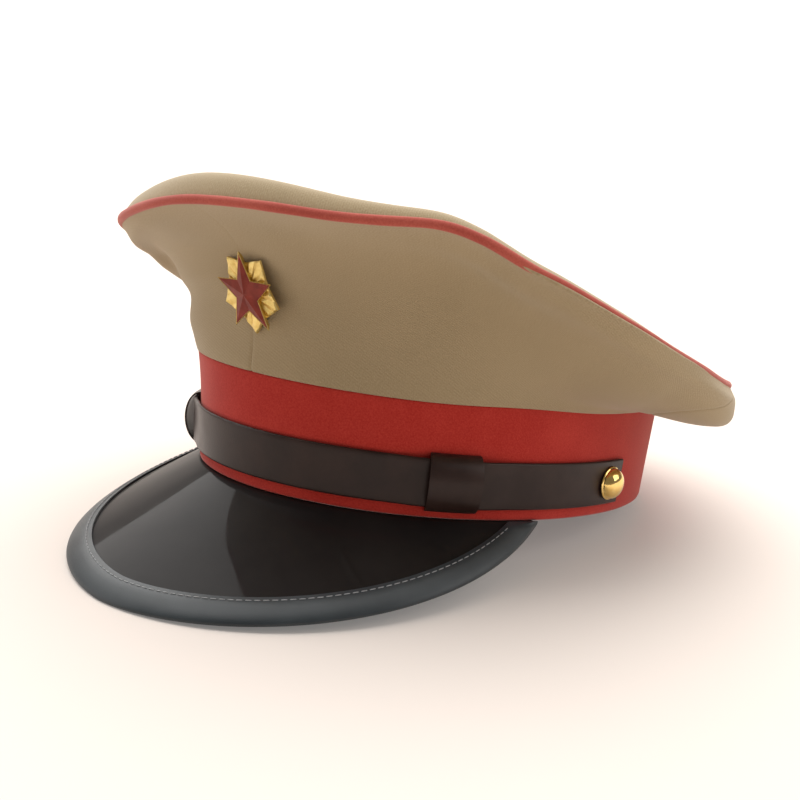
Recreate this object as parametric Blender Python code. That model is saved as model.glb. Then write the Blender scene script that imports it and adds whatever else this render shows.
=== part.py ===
"""A peaked uniform cap: cloth crown with piping, head band, glossy peak, chin strap and badge.

The cap is drawn about its own axes first: the lower edge of the band lies in the plane z = 0,
the front is -Y, the wearer's left is +X, and an angle is counted from the front towards +X.
At the end the whole cap is laid on the floor, where it rests on the rim of the peak and on the
back of the band.
"""
import math

import bpy
import bmesh
from mathutils import Matrix, Vector

# Lengths are in metres and angles in degrees.
CLEARANCE = 0.0003          # gap between two pieces that touch on the real cap

BAND_HALF_WIDTH = 0.0840    # outside, at the lower edge
BAND_HALF_LENGTH = 0.1037
BAND_HEIGHT = 0.0412
BAND_FLARE = 0.0021         # how far the upper edge stands out past the lower edge
BAND_RAKE = 0.0009          # how far the upper edge is set forward
BAND_WALL = 0.0024

CLOTH = 0.0018              # crown cloth with its backing
CROWN_HALF_WIDTH = 0.1195
CROWN_HALF_LENGTH = 0.1315
CROWN_SET_FORWARD = 0.0115
CROWN_FRONT_RISE = 0.0572   # piping above the band's upper edge, at the front
CROWN_BACK_RISE = 0.0052    # and at the back
CROWN_MIDDLE_RISE = 0.0232  # middle of the top panel above the band's upper edge
CROWN_LEAN = 0.105          # slope of the front towards the wearer's right
CROWN_SAG = 0.0114          # how far the slack cloth hangs at the back
TOP_SLACK = 0.0042          # doming of the whole top panel
TOP_FRONT_BULGE = 0.0115    # extra lift of the top panel behind the front piping
TOP_CONE_POWER = 1.2        # 1 would make the top panel a plain cone under its bulges
TOP_EDGE_POWER = 30         # how close to the piping the top panel rises
FRONT_BULGE_POWER = 7.2     # how quickly the front bulge fades round the cap
SIDE_SEAM_ANGLE = 120       # seams between the side panels and the back panel
PIPING_DIAMETER = 0.0036
PIPING_GAP = 0.0006         # between the piping and the edges of the panels beside it

PEAK_REACH = 0.0660         # along the slope, band to rim, at the front
PEAK_END_ANGLE = 73.8
PEAK_OUTLINE_POWER = 1.61
PEAK_FRONT_SLOPE = 31.8
PEAK_SIDE_SLOPE = 36.5
PEAK_SHEET = 0.0020
PEAK_TIP_SHARE = 0.985      # the peak stops short of a knife point at its ends
BINDING_WIDTH = 0.0107
BINDING_SHEET = 0.0010
BINDING_SLACK = 0.0002      # air left in the fold over the sheet
BINDING_BAND_GAP = 0.0006
BINDING_LAP = 0.4           # share of the fold's depth that the peak sheet reaches into

STRAP_WIDTH = 0.0175
STRAP_THICKNESS = 0.0015
STRAP_LOWER_EDGE = 0.0045   # above the band's lower edge
STRAP_PAST_BUTTON = 0.0085
STRAP_EDGE_ROUND = 0.0004
BUTTON_ANGLE = 93
BUTTON_DIAMETER = 0.0128
BUTTON_DOME = 0.0050
BUTTON_RIM = 0.0008
POST_DIAMETER = 0.0030

KEEPER_LEFT_ANGLE = 52      # where each keeper has been slid to along the strap
KEEPER_RIGHT_ANGLE = -43
KEEPER_WIDTH = 0.0195
KEEPER_SHEET = 0.0010
KEEPER_OVERHANG = 0.0018    # past each edge of the strap
KEEPER_DEPTH = 0.0068
KEEPER_RAMP = 0.016         # stretch over which the strap rises to pass through a keeper

BADGE_ASIDE = 0.0060        # from the front seam towards the wearer's left
BADGE_HEIGHT = 0.0298       # above the band's upper edge
BADGE_LEAN = 20             # the top of the badge leans forward
BADGE_TURN = -1.6           # in its own plane
RAY_RADIUS = 0.0150
RAY_VALLEY_RADIUS = 0.0107
RAY_PLATE = 0.0008
RAY_RIDGE = 0.0005
RAY_FOLDS = 8               # folds in each of the five ray groups
STAR_RADIUS = 0.0153
STAR_VALLEY_RADIUS = 0.0062
STAR_EDGE = 0.0007
STAR_RIDGE = 0.0018
PIN_DIAMETER = 0.0024

STEPS_ROUND = 64            # divisions round the band and the crown
STEP = 360 / STEPS_ROUND
SIDE_STEPS_UP = 9
PEAK_STEPS_ACROSS = 40
PEAK_STEPS_OUT = 4
KEEPER_STEPS = 12
TURNED_STEPS = 24
DRILL_STEPS = 16
DRILL_LENGTH = 0.016
SLOPE_READ_ROUND = 0.05     # share of a division over which a sheet's slope is read, round the cap
SLOPE_READ_UP = 0.02        # and up the sheet
BADGE_READ_ANGLES = range(-12, 17)  # whole degrees round the cap that the badge may cover
BADGE_READ_STEPS = 40       # steps up the side panel at which its standoff is read

# A fold sharper than this, in degrees, is drawn as an edge.
CREASE = 35
TURNED_CREASE = 50
RAY_CREASE = 12
STAR_CREASE = 5

# Rise of the piping round the crown: 1 is the front rise and 0 the back rise.
PIPING_RISE = (
    # angle, share
    (0, 1.00),
    (20, 0.95),
    (40, 0.895),
    (50, 0.835),
    (60, 0.68),
    (75, 0.46),
    (90, 0.27),
    (110, 0.115),
    (140, 0.05),
    (180, 0.00),
)

# Bend of the side panels from the band to the piping. Out is a share of the way from the band
# to the piping, up is a share of the piping's height over the band, and sag is a share of
# CROWN_SAG. The lower and the upper handle of one smooth curve have a pair of columns each.
SIDE_BEND = (
    # angle, lower out, lower up, upper out, upper up, sag
    (0, 0.08, 0.64, 0.22, 0.80, 0.0),
    (47, 0.42, 0.55, 0.16, 0.76, 0.0),
    (90, 0.35, 0.18, 0.86, 0.28, 0.1),
    (112, 0.61, -0.14, 1.48, 0.12, 0.5),
    (130, 0.71, 0.06, 1.42, 0.13, 0.95),
    (180, 0.70, 0.00, 1.35, 0.12, 0.9),
)

TOP_PROBE = 0.002           # share of the way inward over which the top panel's edge slope is read

# Shares of the way from the piping to the middle of the top panel, close together where it bends.
TOP_RINGS = (0.0, 0.015, 0.035, 0.065, 0.105, 0.16, 0.24, 0.36, 0.52, 0.72, 1.0)

# Directions round the fold of the binding, in degrees, from its upper edge to its lower edge.
BINDING_TURNS = (90, 60, 35, 15, 0, -15, -35, -60, -90)

# Outline of the side button's dome: shares of its radius and of its height.
DOME_SECTION = (
    # radius, height
    (0.00, 1.00),
    (0.30, 0.96),
    (0.58, 0.83),
    (0.80, 0.60),
    (0.94, 0.30),
    (1.00, 0.00),
)


def clear_scene():
    for existing in list(bpy.data.objects):
        bpy.data.objects.remove(existing, do_unlink=True)


def material(name, colour, roughness, metallic=0.0, coat=0.0):
    made = bpy.data.materials.new(name)
    made.use_nodes = True
    shader = made.node_tree.nodes["Principled BSDF"]
    shader.inputs["Base Color"].default_value = (*colour, 1)
    shader.inputs["Roughness"].default_value = roughness
    shader.inputs["Metallic"].default_value = metallic
    shader.inputs["Coat Weight"].default_value = coat
    made.diffuse_color = (*colour, 1)
    return made


def sine(angle):
    return math.sin(math.radians(angle))


def cosine(angle):
    return math.cos(math.radians(angle))


def read_table(table, angle, column):
    """Read a table's column at an angle, on a smooth curve that never passes its rows."""
    angle = abs(angle)
    angle = min(angle, 360 - angle)
    places = [row[0] for row in table]
    values = [row[column] for row in table]
    slopes = [(values[i + 1] - values[i]) / (places[i + 1] - places[i]) for i in range(len(table) - 1)]

    def tangent(i):
        if i == 0 or i == len(table) - 1 or slopes[i - 1] * slopes[i] <= 0:
            return 0.0
        return 2 * slopes[i - 1] * slopes[i] / (slopes[i - 1] + slopes[i])

    i = 0
    while i < len(table) - 2 and angle > places[i + 1]:
        i += 1
    span = places[i + 1] - places[i]
    t = (angle - places[i]) / span
    return (values[i] * (1 + 2 * t) * (1 - t) ** 2 + values[i + 1] * t * t * (3 - 2 * t)
            + span * tangent(i) * t * (1 - t) ** 2 - span * tangent(i + 1) * t * t * (1 - t))


def angles_between(first, last):
    """The cap's round divisions that lie between two angles, with the two angles themselves."""
    inner = [k * STEP for k in range(-STEPS_ROUND, 2 * STEPS_ROUND)]
    inner = [a for a in inner if first + STEP / 4 < a < last - STEP / 4]
    return [first] + inner + [last]


def band_point(angle, height, out=0.0):
    """A point of the band's outside, or of a surface that stands out from it."""
    share = height / BAND_HEIGHT
    half_width = BAND_HALF_WIDTH + BAND_FLARE * share + out
    half_length = BAND_HALF_LENGTH + BAND_FLARE * share + out
    return Vector((half_width * sine(angle), -half_length * cosine(angle) - BAND_RAKE * share, height))


def band_outward(angle):
    return Vector((sine(angle) / BAND_HALF_WIDTH, -cosine(angle) / BAND_HALF_LENGTH, 0)).normalized()


def piping_point(angle):
    """The middle of the piping, on the crown's edge."""
    x = CROWN_HALF_WIDTH * sine(angle)
    y = -CROWN_HALF_LENGTH * cosine(angle) - CROWN_SET_FORWARD
    rise = CROWN_BACK_RISE + (CROWN_FRONT_RISE - CROWN_BACK_RISE) * read_table(PIPING_RISE, angle, 1)
    lean = CROWN_LEAN * x * (1 + cosine(angle)) / 2
    return Vector((x, y, BAND_HEIGHT + rise + lean))


def side_handles(angle):
    """The ends and the two handles of a side panel's curve, from the band to the piping."""
    foot = band_point(angle, BAND_HEIGHT)
    foot.z += CLEARANCE
    edge = piping_point(angle)
    rise = edge.z - foot.z
    lower_out, lower_up, upper_out, upper_up, sag = (read_table(SIDE_BEND, angle, c) for c in range(1, 6))
    lower = foot.lerp(edge, lower_out)
    lower.z = foot.z + lower_up * rise - sag * CROWN_SAG
    upper = foot.lerp(edge, upper_out)
    upper.z = foot.z + upper_up * rise - sag * CROWN_SAG
    return foot, lower, upper, edge


def top_surface(angle, inward):
    """The top panel's outside: inward is 0 at the piping and 1 in the middle."""
    edge = piping_point(angle)
    r = 1 - inward
    middle = Vector((0, -CROWN_SET_FORWARD, BAND_HEIGHT + CROWN_MIDDLE_RISE))
    point = middle.lerp(edge, r)
    point.z = middle.z + (edge.z - middle.z) * r ** TOP_CONE_POWER
    front = ((1 + cosine(angle)) / 2) ** FRONT_BULGE_POWER
    lift = 1 - r ** TOP_EDGE_POWER
    point.z += (TOP_SLACK + TOP_FRONT_BULGE * front * r * r) * lift
    return point


def edge_gaps(angle):
    """How far the side panel and the top panel stop short of the piping's middle.

    Each is measured along its own panel, and keeps it clear of the piping and of the other panel.
    """
    edge = piping_point(angle)
    run = (piping_point(angle + STEP / 10) - piping_point(angle - STEP / 10)).normalized()
    side = side_handles(angle)[2] - edge
    top = top_surface(angle, TOP_PROBE) - edge
    square_side = side - run * side.dot(run)
    square_top = top - run * top.dot(run)
    opening = square_side.angle(square_top)
    gap = max(PIPING_DIAMETER / 2 + PIPING_GAP, (CLOTH + PIPING_GAP) / math.tan(opening / 2))
    return gap * side.length / square_side.length, gap * top.length / square_top.length


def side_point(angle, share):
    """A side panel's outside, from the band (share 0) to just under the piping (share 1)."""
    foot, lower, upper, edge = side_handles(angle)
    t = share * (1 - edge_gaps(angle)[0] / (3 * (edge - upper).length))
    return (foot * (1 - t) ** 3 + lower * 3 * t * (1 - t) ** 2
            + upper * 3 * t * t * (1 - t) + edge * t ** 3)


def top_point(angle, inward):
    """The top panel from beside the piping (inward 0) to the middle (inward 1)."""
    per_share = (top_surface(angle, TOP_PROBE) - top_surface(angle, 0)).length / TOP_PROBE
    start = edge_gaps(angle)[1] / per_share
    return top_surface(angle, start + (1 - start) * inward)


def peak_width(share):
    """Band to rim along the slope; share runs from -1 to 1 across the peak."""
    return PEAK_REACH * (1 - abs(share) ** PEAK_OUTLINE_POWER)


def peak_slope(share):
    return PEAK_FRONT_SLOPE + (PEAK_SIDE_SLOPE - PEAK_FRONT_SLOPE) * share * share


def peak_point(share, reach, up=0.0):
    """A point of the peak's upper face, or up above it. A reach below 0 lies under the band."""
    angle = PEAK_END_ANGLE * share
    outward = band_outward(angle)
    point = band_point(angle, 0) + Vector((0, 0, -CLEARANCE))
    if reach < 0:
        return point + outward * reach + Vector((0, 0, up))
    slope = peak_slope(share)
    along = outward * cosine(slope) - Vector((0, 0, sine(slope)))
    over = outward * sine(slope) + Vector((0, 0, cosine(slope)))
    return point + along * reach + over * up


def binding_width(share):
    return min(BINDING_WIDTH, peak_width(share) - BINDING_BAND_GAP)


def binding_pocket(share):
    """How deep the fold of the binding is inside."""
    width = binding_width(share)
    return max(width - BINDING_SHEET, width / 3)


def peak_edge(share):
    """Where the peak's own sheet ends, inside the binding."""
    return peak_width(share) - binding_width(share) + binding_pocket(share) * BINDING_LAP


def strap_lift(angle):
    """How far the strap stands off the band to let a keeper pass behind it."""
    keeper = KEEPER_LEFT_ANGLE if angle > 0 else KEEPER_RIGHT_ANGLE
    arc = BAND_HALF_LENGTH * math.radians(abs(angle - keeper))
    t = (arc - KEEPER_WIDTH / 2) / KEEPER_RAMP
    t = min(max(t, 0), 1)
    return (KEEPER_SHEET + CLEARANCE) * (1 - t * t * (3 - 2 * t))


def new_object(name, mesh, look):
    made = bpy.data.objects.new(name, mesh)
    bpy.context.scene.collection.objects.link(made)
    mesh.materials.append(look)
    return made


def finish_mesh(bm, name, crease=CREASE):
    bmesh.ops.remove_doubles(bm, verts=bm.verts, dist=1e-6)
    bmesh.ops.recalc_face_normals(bm, faces=bm.faces)
    mesh = bpy.data.meshes.new(name)
    bm.to_mesh(mesh)
    bm.free()
    mesh.shade_smooth()
    mesh.set_sharp_from_angle(angle=math.radians(crease))
    return mesh


def wall(name, outer, inner, look, wraps=False):
    """A closed body between two grids of points. Rows that wrap go all the way round."""
    bm = bmesh.new()
    out = [[bm.verts.new(p) for p in row] for row in outer]
    back = [[bm.verts.new(p) for p in row] for row in inner]
    rows = len(out)
    columns = len(out[0])
    pairs = [(i, (i + 1) % rows) for i in range(rows if wraps else rows - 1)]
    for i, j in pairs:
        for k in range(columns - 1):
            bm.faces.new((out[i][k], out[i][k + 1], out[j][k + 1], out[j][k]))
            bm.faces.new((back[i][k], back[j][k], back[j][k + 1], back[i][k + 1]))
        bm.faces.new((out[i][0], out[j][0], back[j][0], back[i][0]))
        bm.faces.new((out[i][-1], back[i][-1], back[j][-1], out[j][-1]))
    if not wraps:
        for i in (0, rows - 1):
            for k in range(columns - 1):
                bm.faces.new((out[i][k], back[i][k], back[i][k + 1], out[i][k + 1]))
    return new_object(name, finish_mesh(bm, name), look)


def shell(name, surface, rows, columns, thickness, look, wraps=False):
    """A sheet whose outside is a surface, made thick along its normals."""
    step_row = SLOPE_READ_ROUND * abs(rows[1] - rows[0])
    step_column = SLOPE_READ_UP * abs(columns[1] - columns[0])

    def inside(u, v):
        across = surface(u + step_row, v) - surface(u - step_row, v)
        ahead = min(v + step_column, columns[-1])
        behind = max(v - step_column, columns[0])
        along = surface(u, ahead) - surface(u, behind)
        normal = across.cross(along)
        if across.length < 1e-6:
            normal = Vector((0, 0, 1))
        return surface(u, v) - normal.normalized() * thickness

    outer = [[surface(u, v) for v in columns] for u in rows]
    inner = [[inside(u, v) for v in columns] for u in rows]
    return wall(name, outer, inner, look, wraps)


def make_band(look):
    angles = [k * STEP for k in range(STEPS_ROUND)]
    heights = (0, BAND_HEIGHT)
    outer = [[band_point(a, h) for h in heights] for a in angles]
    inner = [[band_point(a, h, -BAND_WALL) for h in heights] for a in angles]
    return wall("band", outer, inner, look, wraps=True)


def make_sides(look):
    """Three side panels, parted at the front seam and at the two rear seams."""
    half_gap = math.degrees(CLEARANCE / BAND_HALF_WIDTH) / 2
    spans = (
        ("crown_side_left", 0, SIDE_SEAM_ANGLE),
        ("crown_side_right", -SIDE_SEAM_ANGLE, 0),
        ("crown_side_back", SIDE_SEAM_ANGLE, 360 - SIDE_SEAM_ANGLE),
    )
    shares = [k / SIDE_STEPS_UP for k in range(SIDE_STEPS_UP + 1)]
    return [shell(name, side_point, angles_between(first + half_gap, last - half_gap), shares, CLOTH, look)
            for name, first, last in spans]


def make_top(look):
    angles = [k * STEP for k in range(STEPS_ROUND)]
    return shell("crown_top", top_point, angles, TOP_RINGS, CLOTH, look, wraps=True)


def make_piping(look):
    route = [piping_point(k * STEP) for k in range(STEPS_ROUND)]
    curve = bpy.data.curves.new("crown_piping", "CURVE")
    curve.dimensions = "3D"
    curve.bevel_depth = PIPING_DIAMETER / 2
    curve.bevel_resolution = 2
    spline = curve.splines.new("POLY")
    spline.points.add(len(route) - 1)
    for point, place in zip(spline.points, route):
        point.co = (*place, 1)
    spline.use_cyclic_u = True
    spline.use_smooth = True
    return new_object("crown_piping", curve, look)


def peak_shares():
    return [PEAK_TIP_SHARE * (2 * k / PEAK_STEPS_ACROSS - 1) for k in range(PEAK_STEPS_ACROSS + 1)]


def make_peak(look):
    """The peak's sheet, sewn under the band at its inner edge."""

    def grid(up):
        rows = []
        for share in peak_shares():
            reaches = [-BAND_WALL] + [peak_edge(share) * k / PEAK_STEPS_OUT for k in range(PEAK_STEPS_OUT + 1)]
            rows.append([peak_point(share, reach, up) for reach in reaches])
        return rows

    return wall("peak", grid(0), grid(-PEAK_SHEET), look)


def make_binding(look):
    half = PEAK_SHEET / 2 + CLEARANCE + BINDING_SLACK + BINDING_SHEET

    def grid(depth_of, thinner):
        rows = []
        for share in peak_shares():
            start = peak_width(share) - binding_width(share)
            rows.append([peak_point(share, start + depth_of(share) * cosine(turn),
                                    (half - thinner) * sine(turn) - PEAK_SHEET / 2) for turn in BINDING_TURNS])
        return rows

    return wall("peak_binding", grid(binding_width, 0), grid(binding_pocket, BINDING_SHEET), look)


def make_strap(look):
    """The chin strap across the front, from one side button to the other."""
    end = BUTTON_ANGLE + math.degrees(STRAP_PAST_BUTTON / BAND_HALF_LENGTH)
    low = STRAP_LOWER_EDGE
    high = STRAP_LOWER_EDGE + STRAP_WIDTH
    edge = STRAP_EDGE_ROUND
    heights = (low, low + edge, high - edge, high)
    insets = (edge, 0, 0, edge)

    def grid(out, side):
        return [[band_point(a, h, out + strap_lift(a) - side * inset) for h, inset in zip(heights, insets)]
                for a in angles_between(-end, end)]

    return wall("chin_strap", grid(CLEARANCE + STRAP_THICKNESS, 1), grid(CLEARANCE, 0), look)


def make_keeper(name, angle, look):
    """A loop round the strap: flat behind it, bowed out in front."""
    middle = STRAP_LOWER_EDGE + STRAP_WIDTH / 2
    half = STRAP_WIDTH / 2 + KEEPER_OVERHANG
    half_angle = math.degrees(KEEPER_WIDTH / 2 / BAND_HALF_LENGTH)
    stations = [angle - half_angle, angle, angle + half_angle]
    turns = [-90 + 180 * k / KEEPER_STEPS for k in range(KEEPER_STEPS + 1)]

    def ring(thinner):
        depth = KEEPER_DEPTH - 2 * thinner
        bow = [(CLEARANCE + thinner + depth * cosine(t), middle + (half - thinner) * sine(t)) for t in turns]
        return [[band_point(station, height, out) for station in stations] for out, height in bow]

    return wall(name, ring(0), ring(KEEPER_SHEET), look, wraps=True)


def turned(name, section, look, steps=TURNED_STEPS):
    """A body turned about its own Z axis from a section of radius and height, top to bottom."""
    bm = bmesh.new()
    rings = []
    for radius, height in section:
        if radius == 0:
            rings.append([bm.verts.new((0, 0, height))])
        else:
            angles = [360 * k / steps for k in range(steps)]
            rings.append([bm.verts.new((radius * cosine(a), radius * sine(a), height)) for a in angles])
    for upper, lower in zip(rings, rings[1:]):
        for k in range(steps):
            n = (k + 1) % steps
            corners = [upper[k % len(upper)], lower[k % len(lower)],
                       lower[n % len(lower)], upper[n % len(upper)]]
            bm.faces.new(list(dict.fromkeys(corners)))
    return new_object(name, finish_mesh(bm, name, TURNED_CREASE), look)


def stand_on_band(made, angle, height):
    """Put an object's origin on the band's outside, with its Z axis pointing straight out."""
    outward = band_outward(angle)
    made.rotation_euler = outward.to_track_quat("Z", "Y").to_euler()
    made.location = band_point(angle, height)


def make_button(name, angle, look):
    seat = 2 * CLEARANCE + STRAP_THICKNESS
    radius = BUTTON_DIAMETER / 2
    post = POST_DIAMETER / 2
    section = [(r * radius, seat + BUTTON_RIM + h * (BUTTON_DOME - BUTTON_RIM)) for r, h in DOME_SECTION]
    section += [(radius, seat), (post, seat), (post, -BAND_WALL), (0, -BAND_WALL)]
    made = turned(name, section, look)
    stand_on_band(made, angle, STRAP_LOWER_EDGE + STRAP_WIDTH / 2)
    return made


def make_drill(name, diameter, look):
    """A cylinder that only cuts a hole, centred on its origin."""
    radius = diameter / 2
    half = DRILL_LENGTH / 2
    made = turned(name, [(0, half), (radius, half), (radius, -half), (0, -half)], look, DRILL_STEPS)
    made.hide_render = True
    made.display_type = "WIRE"
    return made


def drill(piece, tool):
    cut = piece.modifiers.new("hole", "BOOLEAN")
    cut.operation = "DIFFERENCE"
    cut.solver = "EXACT"
    cut.object = tool


def badge_frame():
    """Where the badge's back lies: its Z axis points out of the cap and its Y axis up."""
    angle = math.degrees(math.asin(BADGE_ASIDE / BAND_HALF_WIDTH))
    share = 0.0
    while side_point(angle, share).z < BAND_HEIGHT + BADGE_HEIGHT:
        share += 1 / (4 * BADGE_READ_STEPS)
    lean = Matrix.Rotation(math.radians(90 + BADGE_LEAN), 4, "X")
    turn = Matrix.Rotation(math.radians(-BADGE_TURN), 4, "Z")
    place = Matrix.Translation(side_point(angle, share)) @ lean @ turn
    from_place = place.inverted()
    highest = 0.0
    for a in BADGE_READ_ANGLES:
        for k in range(BADGE_READ_STEPS + 1):
            local = from_place @ side_point(a, k / BADGE_READ_STEPS)
            if math.hypot(local.x, local.y) < RAY_RADIUS:
                highest = max(highest, local.z)
    return place @ Matrix.Translation((0, 0, highest + CLEARANCE)), highest


def star_radius(angle, point, valley):
    """Distance to the outline of a five-pointed star along a direction; 0 is a point."""
    off = abs((angle + 36) % 72 - 36)
    tip = Vector((point, 0))
    dip = Vector((valley * cosine(36), valley * sine(36)))
    edge = dip - tip
    across = cosine(off) * edge.y - sine(off) * edge.x
    return (tip.x * edge.y - tip.y * edge.x) / across


def make_rays(look, frame, pin_length):
    """The ray plate: five groups of folded rays, with a pin behind it."""
    bm = bmesh.new()
    count = 5 * RAY_FOLDS
    centre = bm.verts.new((0, 0, RAY_PLATE + RAY_RIDGE))
    rim = []
    back = []
    for k in range(count):
        angle = 360 * k / count
        radius = star_radius(angle + 36, RAY_RADIUS, RAY_VALLEY_RADIUS)
        x = radius * -sine(angle)
        y = radius * cosine(angle)
        rim.append(bm.verts.new((x, y, RAY_PLATE + (RAY_RIDGE if k % 2 == 0 else 0))))
        back.append(bm.verts.new((x, y, 0)))
    pin_root = []
    pin_end = []
    for k in range(count):
        angle = 360 * k / count
        x = -PIN_DIAMETER / 2 * sine(angle)
        y = PIN_DIAMETER / 2 * cosine(angle)
        pin_root.append(bm.verts.new((x, y, 0)))
        pin_end.append(bm.verts.new((x, y, -pin_length)))
    for k in range(count):
        n = (k + 1) % count
        bm.faces.new((centre, rim[k], rim[n]))
        bm.faces.new((rim[k], back[k], back[n], rim[n]))
        bm.faces.new((back[k], pin_root[k], pin_root[n], back[n]))
        bm.faces.new((pin_root[k], pin_end[k], pin_end[n], pin_root[n]))
    bm.faces.new(pin_end)
    made = new_object("badge_rays", finish_mesh(bm, "badge_rays", RAY_CREASE), look)
    made.matrix_world = frame
    return made


def make_star(look, frame):
    """The star: each arm has a ridge from the middle to its point."""
    bm = bmesh.new()
    seat = RAY_PLATE + RAY_RIDGE + CLEARANCE
    centre = bm.verts.new((0, 0, seat + STAR_RIDGE))
    base = bm.verts.new((0, 0, seat))
    upper = []
    lower = []
    for k in range(10):
        radius = STAR_RADIUS if k % 2 == 0 else STAR_VALLEY_RADIUS
        x = radius * -sine(36 * k)
        y = radius * cosine(36 * k)
        upper.append(bm.verts.new((x, y, seat + STAR_EDGE)))
        lower.append(bm.verts.new((x, y, seat)))
    for k in range(10):
        n = (k + 1) % 10
        bm.faces.new((centre, upper[k], upper[n]))
        bm.faces.new((upper[k], lower[k], lower[n], upper[n]))
        bm.faces.new((base, lower[n], lower[k]))
    made = new_object("badge_star", finish_mesh(bm, "badge_star", STAR_CREASE), look)
    made.matrix_world = frame
    return made


def world_points(pieces):
    """Every corner of the pieces as they stand, with their modifiers."""
    bpy.context.view_layer.update()
    depsgraph = bpy.context.evaluated_depsgraph_get()
    points = []
    for piece in pieces:
        ready = piece.evaluated_get(depsgraph)
        mesh = ready.to_mesh()
        points += [ready.matrix_world @ v.co for v in mesh.vertices]
        ready.to_mesh_clear()
    return points


def lay_on_floor(pieces, helpers):
    """Tip the cap until the peak's rim and the back of the band touch the floor together."""
    stand = bpy.data.objects.new("cap_on_floor", None)
    bpy.context.scene.collection.objects.link(stand)
    for piece in pieces + helpers:
        piece.parent = stand
    heel = BAND_HALF_LENGTH
    points = world_points(pieces)
    tilt = max(math.atan2(-p.z, heel - p.y) for p in points if p.z < 0)
    stand.rotation_euler.x = -tilt
    points = world_points(pieces)
    low = Vector(min(p[axis] for p in points) for axis in range(3))
    high = Vector(max(p[axis] for p in points) for axis in range(3))
    stand.location = (-(low.x + high.x) / 2, -(low.y + high.y) / 2, -low.z)
    bpy.context.view_layer.update()
    return math.degrees(tilt)


def main():
    clear_scene()
    khaki = material("khaki_cloth", (0.46, 0.33, 0.20), 0.9)
    red_cloth = material("red_cloth", (0.55, 0.04, 0.03), 0.9)
    patent = material("black_patent", (0.02, 0.018, 0.02), 0.12, coat=1.0)
    satin = material("dark_satin_vinyl", (0.06, 0.065, 0.07), 0.45)
    leather = material("dark_strap_leather", (0.05, 0.04, 0.04), 0.5)
    gold = material("polished_gold", (0.85, 0.55, 0.12), 0.12, metallic=1.0)
    gilt = material("gilt_rays", (0.75, 0.50, 0.10), 0.35, metallic=1.0)
    enamel = material("red_enamel", (0.40, 0.03, 0.03), 0.25)

    band = make_band(red_cloth)
    sides = make_sides(khaki)
    strap = make_strap(leather)
    pieces = [band, *sides, make_top(khaki), make_piping(red_cloth), make_peak(patent),
              make_binding(satin), strap]
    helpers = []
    for side, name, keeper in ((1, "left", KEEPER_LEFT_ANGLE), (-1, "right", KEEPER_RIGHT_ANGLE)):
        pieces.append(make_keeper(f"strap_keeper_{name}", keeper, leather))
        pieces.append(make_button(f"button_{name}", side * BUTTON_ANGLE, gold))
        tool = make_drill(f"post_drill_{name}", POST_DIAMETER + 2 * CLEARANCE, gold)
        stand_on_band(tool, side * BUTTON_ANGLE, STRAP_LOWER_EDGE + STRAP_WIDTH / 2)
        drill(band, tool)
        drill(strap, tool)
        helpers.append(tool)

    frame, standoff = badge_frame()
    pin_length = standoff + CLEARANCE + 2 * CLOTH
    pieces.append(make_rays(gilt, frame, pin_length))
    pieces.append(make_star(enamel, frame))
    pin_tool = make_drill("pin_drill", PIN_DIAMETER + 2 * CLEARANCE, gilt)
    pin_tool.matrix_world = frame
    drill(sides[0], pin_tool)
    helpers.append(pin_tool)

    print("resting tilt", round(lay_on_floor(pieces, helpers), 3), "degrees")


main()
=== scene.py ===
# %% [markdown]
# # A peaked uniform cap, dressed over its plain solids
#
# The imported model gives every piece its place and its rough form. This lesson makes each
# piece again as a finer mesh, sewn, folded and rounded as the real one is, and gives it a
# finish built from shader nodes. The frame comes first, because every piece is laid on it.

# %% Load the frame
import math

import bpy
import bmesh
import numpy as np
from mathutils import Matrix, Vector


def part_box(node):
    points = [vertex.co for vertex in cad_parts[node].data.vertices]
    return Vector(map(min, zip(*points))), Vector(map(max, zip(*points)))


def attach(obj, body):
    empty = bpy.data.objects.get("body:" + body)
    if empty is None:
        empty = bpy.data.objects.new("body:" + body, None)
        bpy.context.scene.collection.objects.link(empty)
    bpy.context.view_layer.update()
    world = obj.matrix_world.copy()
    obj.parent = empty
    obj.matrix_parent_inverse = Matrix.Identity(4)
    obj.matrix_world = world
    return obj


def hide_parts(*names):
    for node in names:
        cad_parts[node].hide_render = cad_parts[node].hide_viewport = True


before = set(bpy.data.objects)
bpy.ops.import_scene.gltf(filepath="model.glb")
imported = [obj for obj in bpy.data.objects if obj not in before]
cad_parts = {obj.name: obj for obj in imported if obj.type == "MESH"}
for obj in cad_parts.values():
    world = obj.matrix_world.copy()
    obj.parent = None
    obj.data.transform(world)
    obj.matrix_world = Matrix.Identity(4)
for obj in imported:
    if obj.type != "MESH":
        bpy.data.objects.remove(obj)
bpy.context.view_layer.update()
print("pieces in the frame:", ", ".join(sorted(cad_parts)))

# %% [markdown]
# ## The cap's own axes
#
# A cap maker thinks of the band first. Its lower edge lies in the plane z = 0, the front is
# -Y and the wearer's left is +X. An angle is counted from the front towards +X. The cap is
# drawn in these axes and then tipped, because on a floor it rests on the rim of its peak and
# on the back of its band. A single matrix holds that tip, so each piece stays simple to draw.

# %% Band sizes
BAND_HALF_WIDTH = 0.0840
BAND_HALF_LENGTH = 0.1037
BAND_HEIGHT = 0.0412
BAND_FLARE = 0.0021
BAND_RAKE = 0.0009
BAND_WALL = 0.0024
BAND_SWELL = 0.0024          # the cloth stands off the band's upper edge, right of the front
BAND_SWELL_ANGLE = -50
BAND_SWELL_SPREAD = 38


def sine(angle):
    return np.sin(np.radians(angle))


def cosine(angle):
    return np.cos(np.radians(angle))


def points(x, y, z):
    """Stack three arrays, or numbers, into an array of points."""
    return np.stack(np.broadcast_arrays(x, y, z), -1).astype(float)


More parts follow.
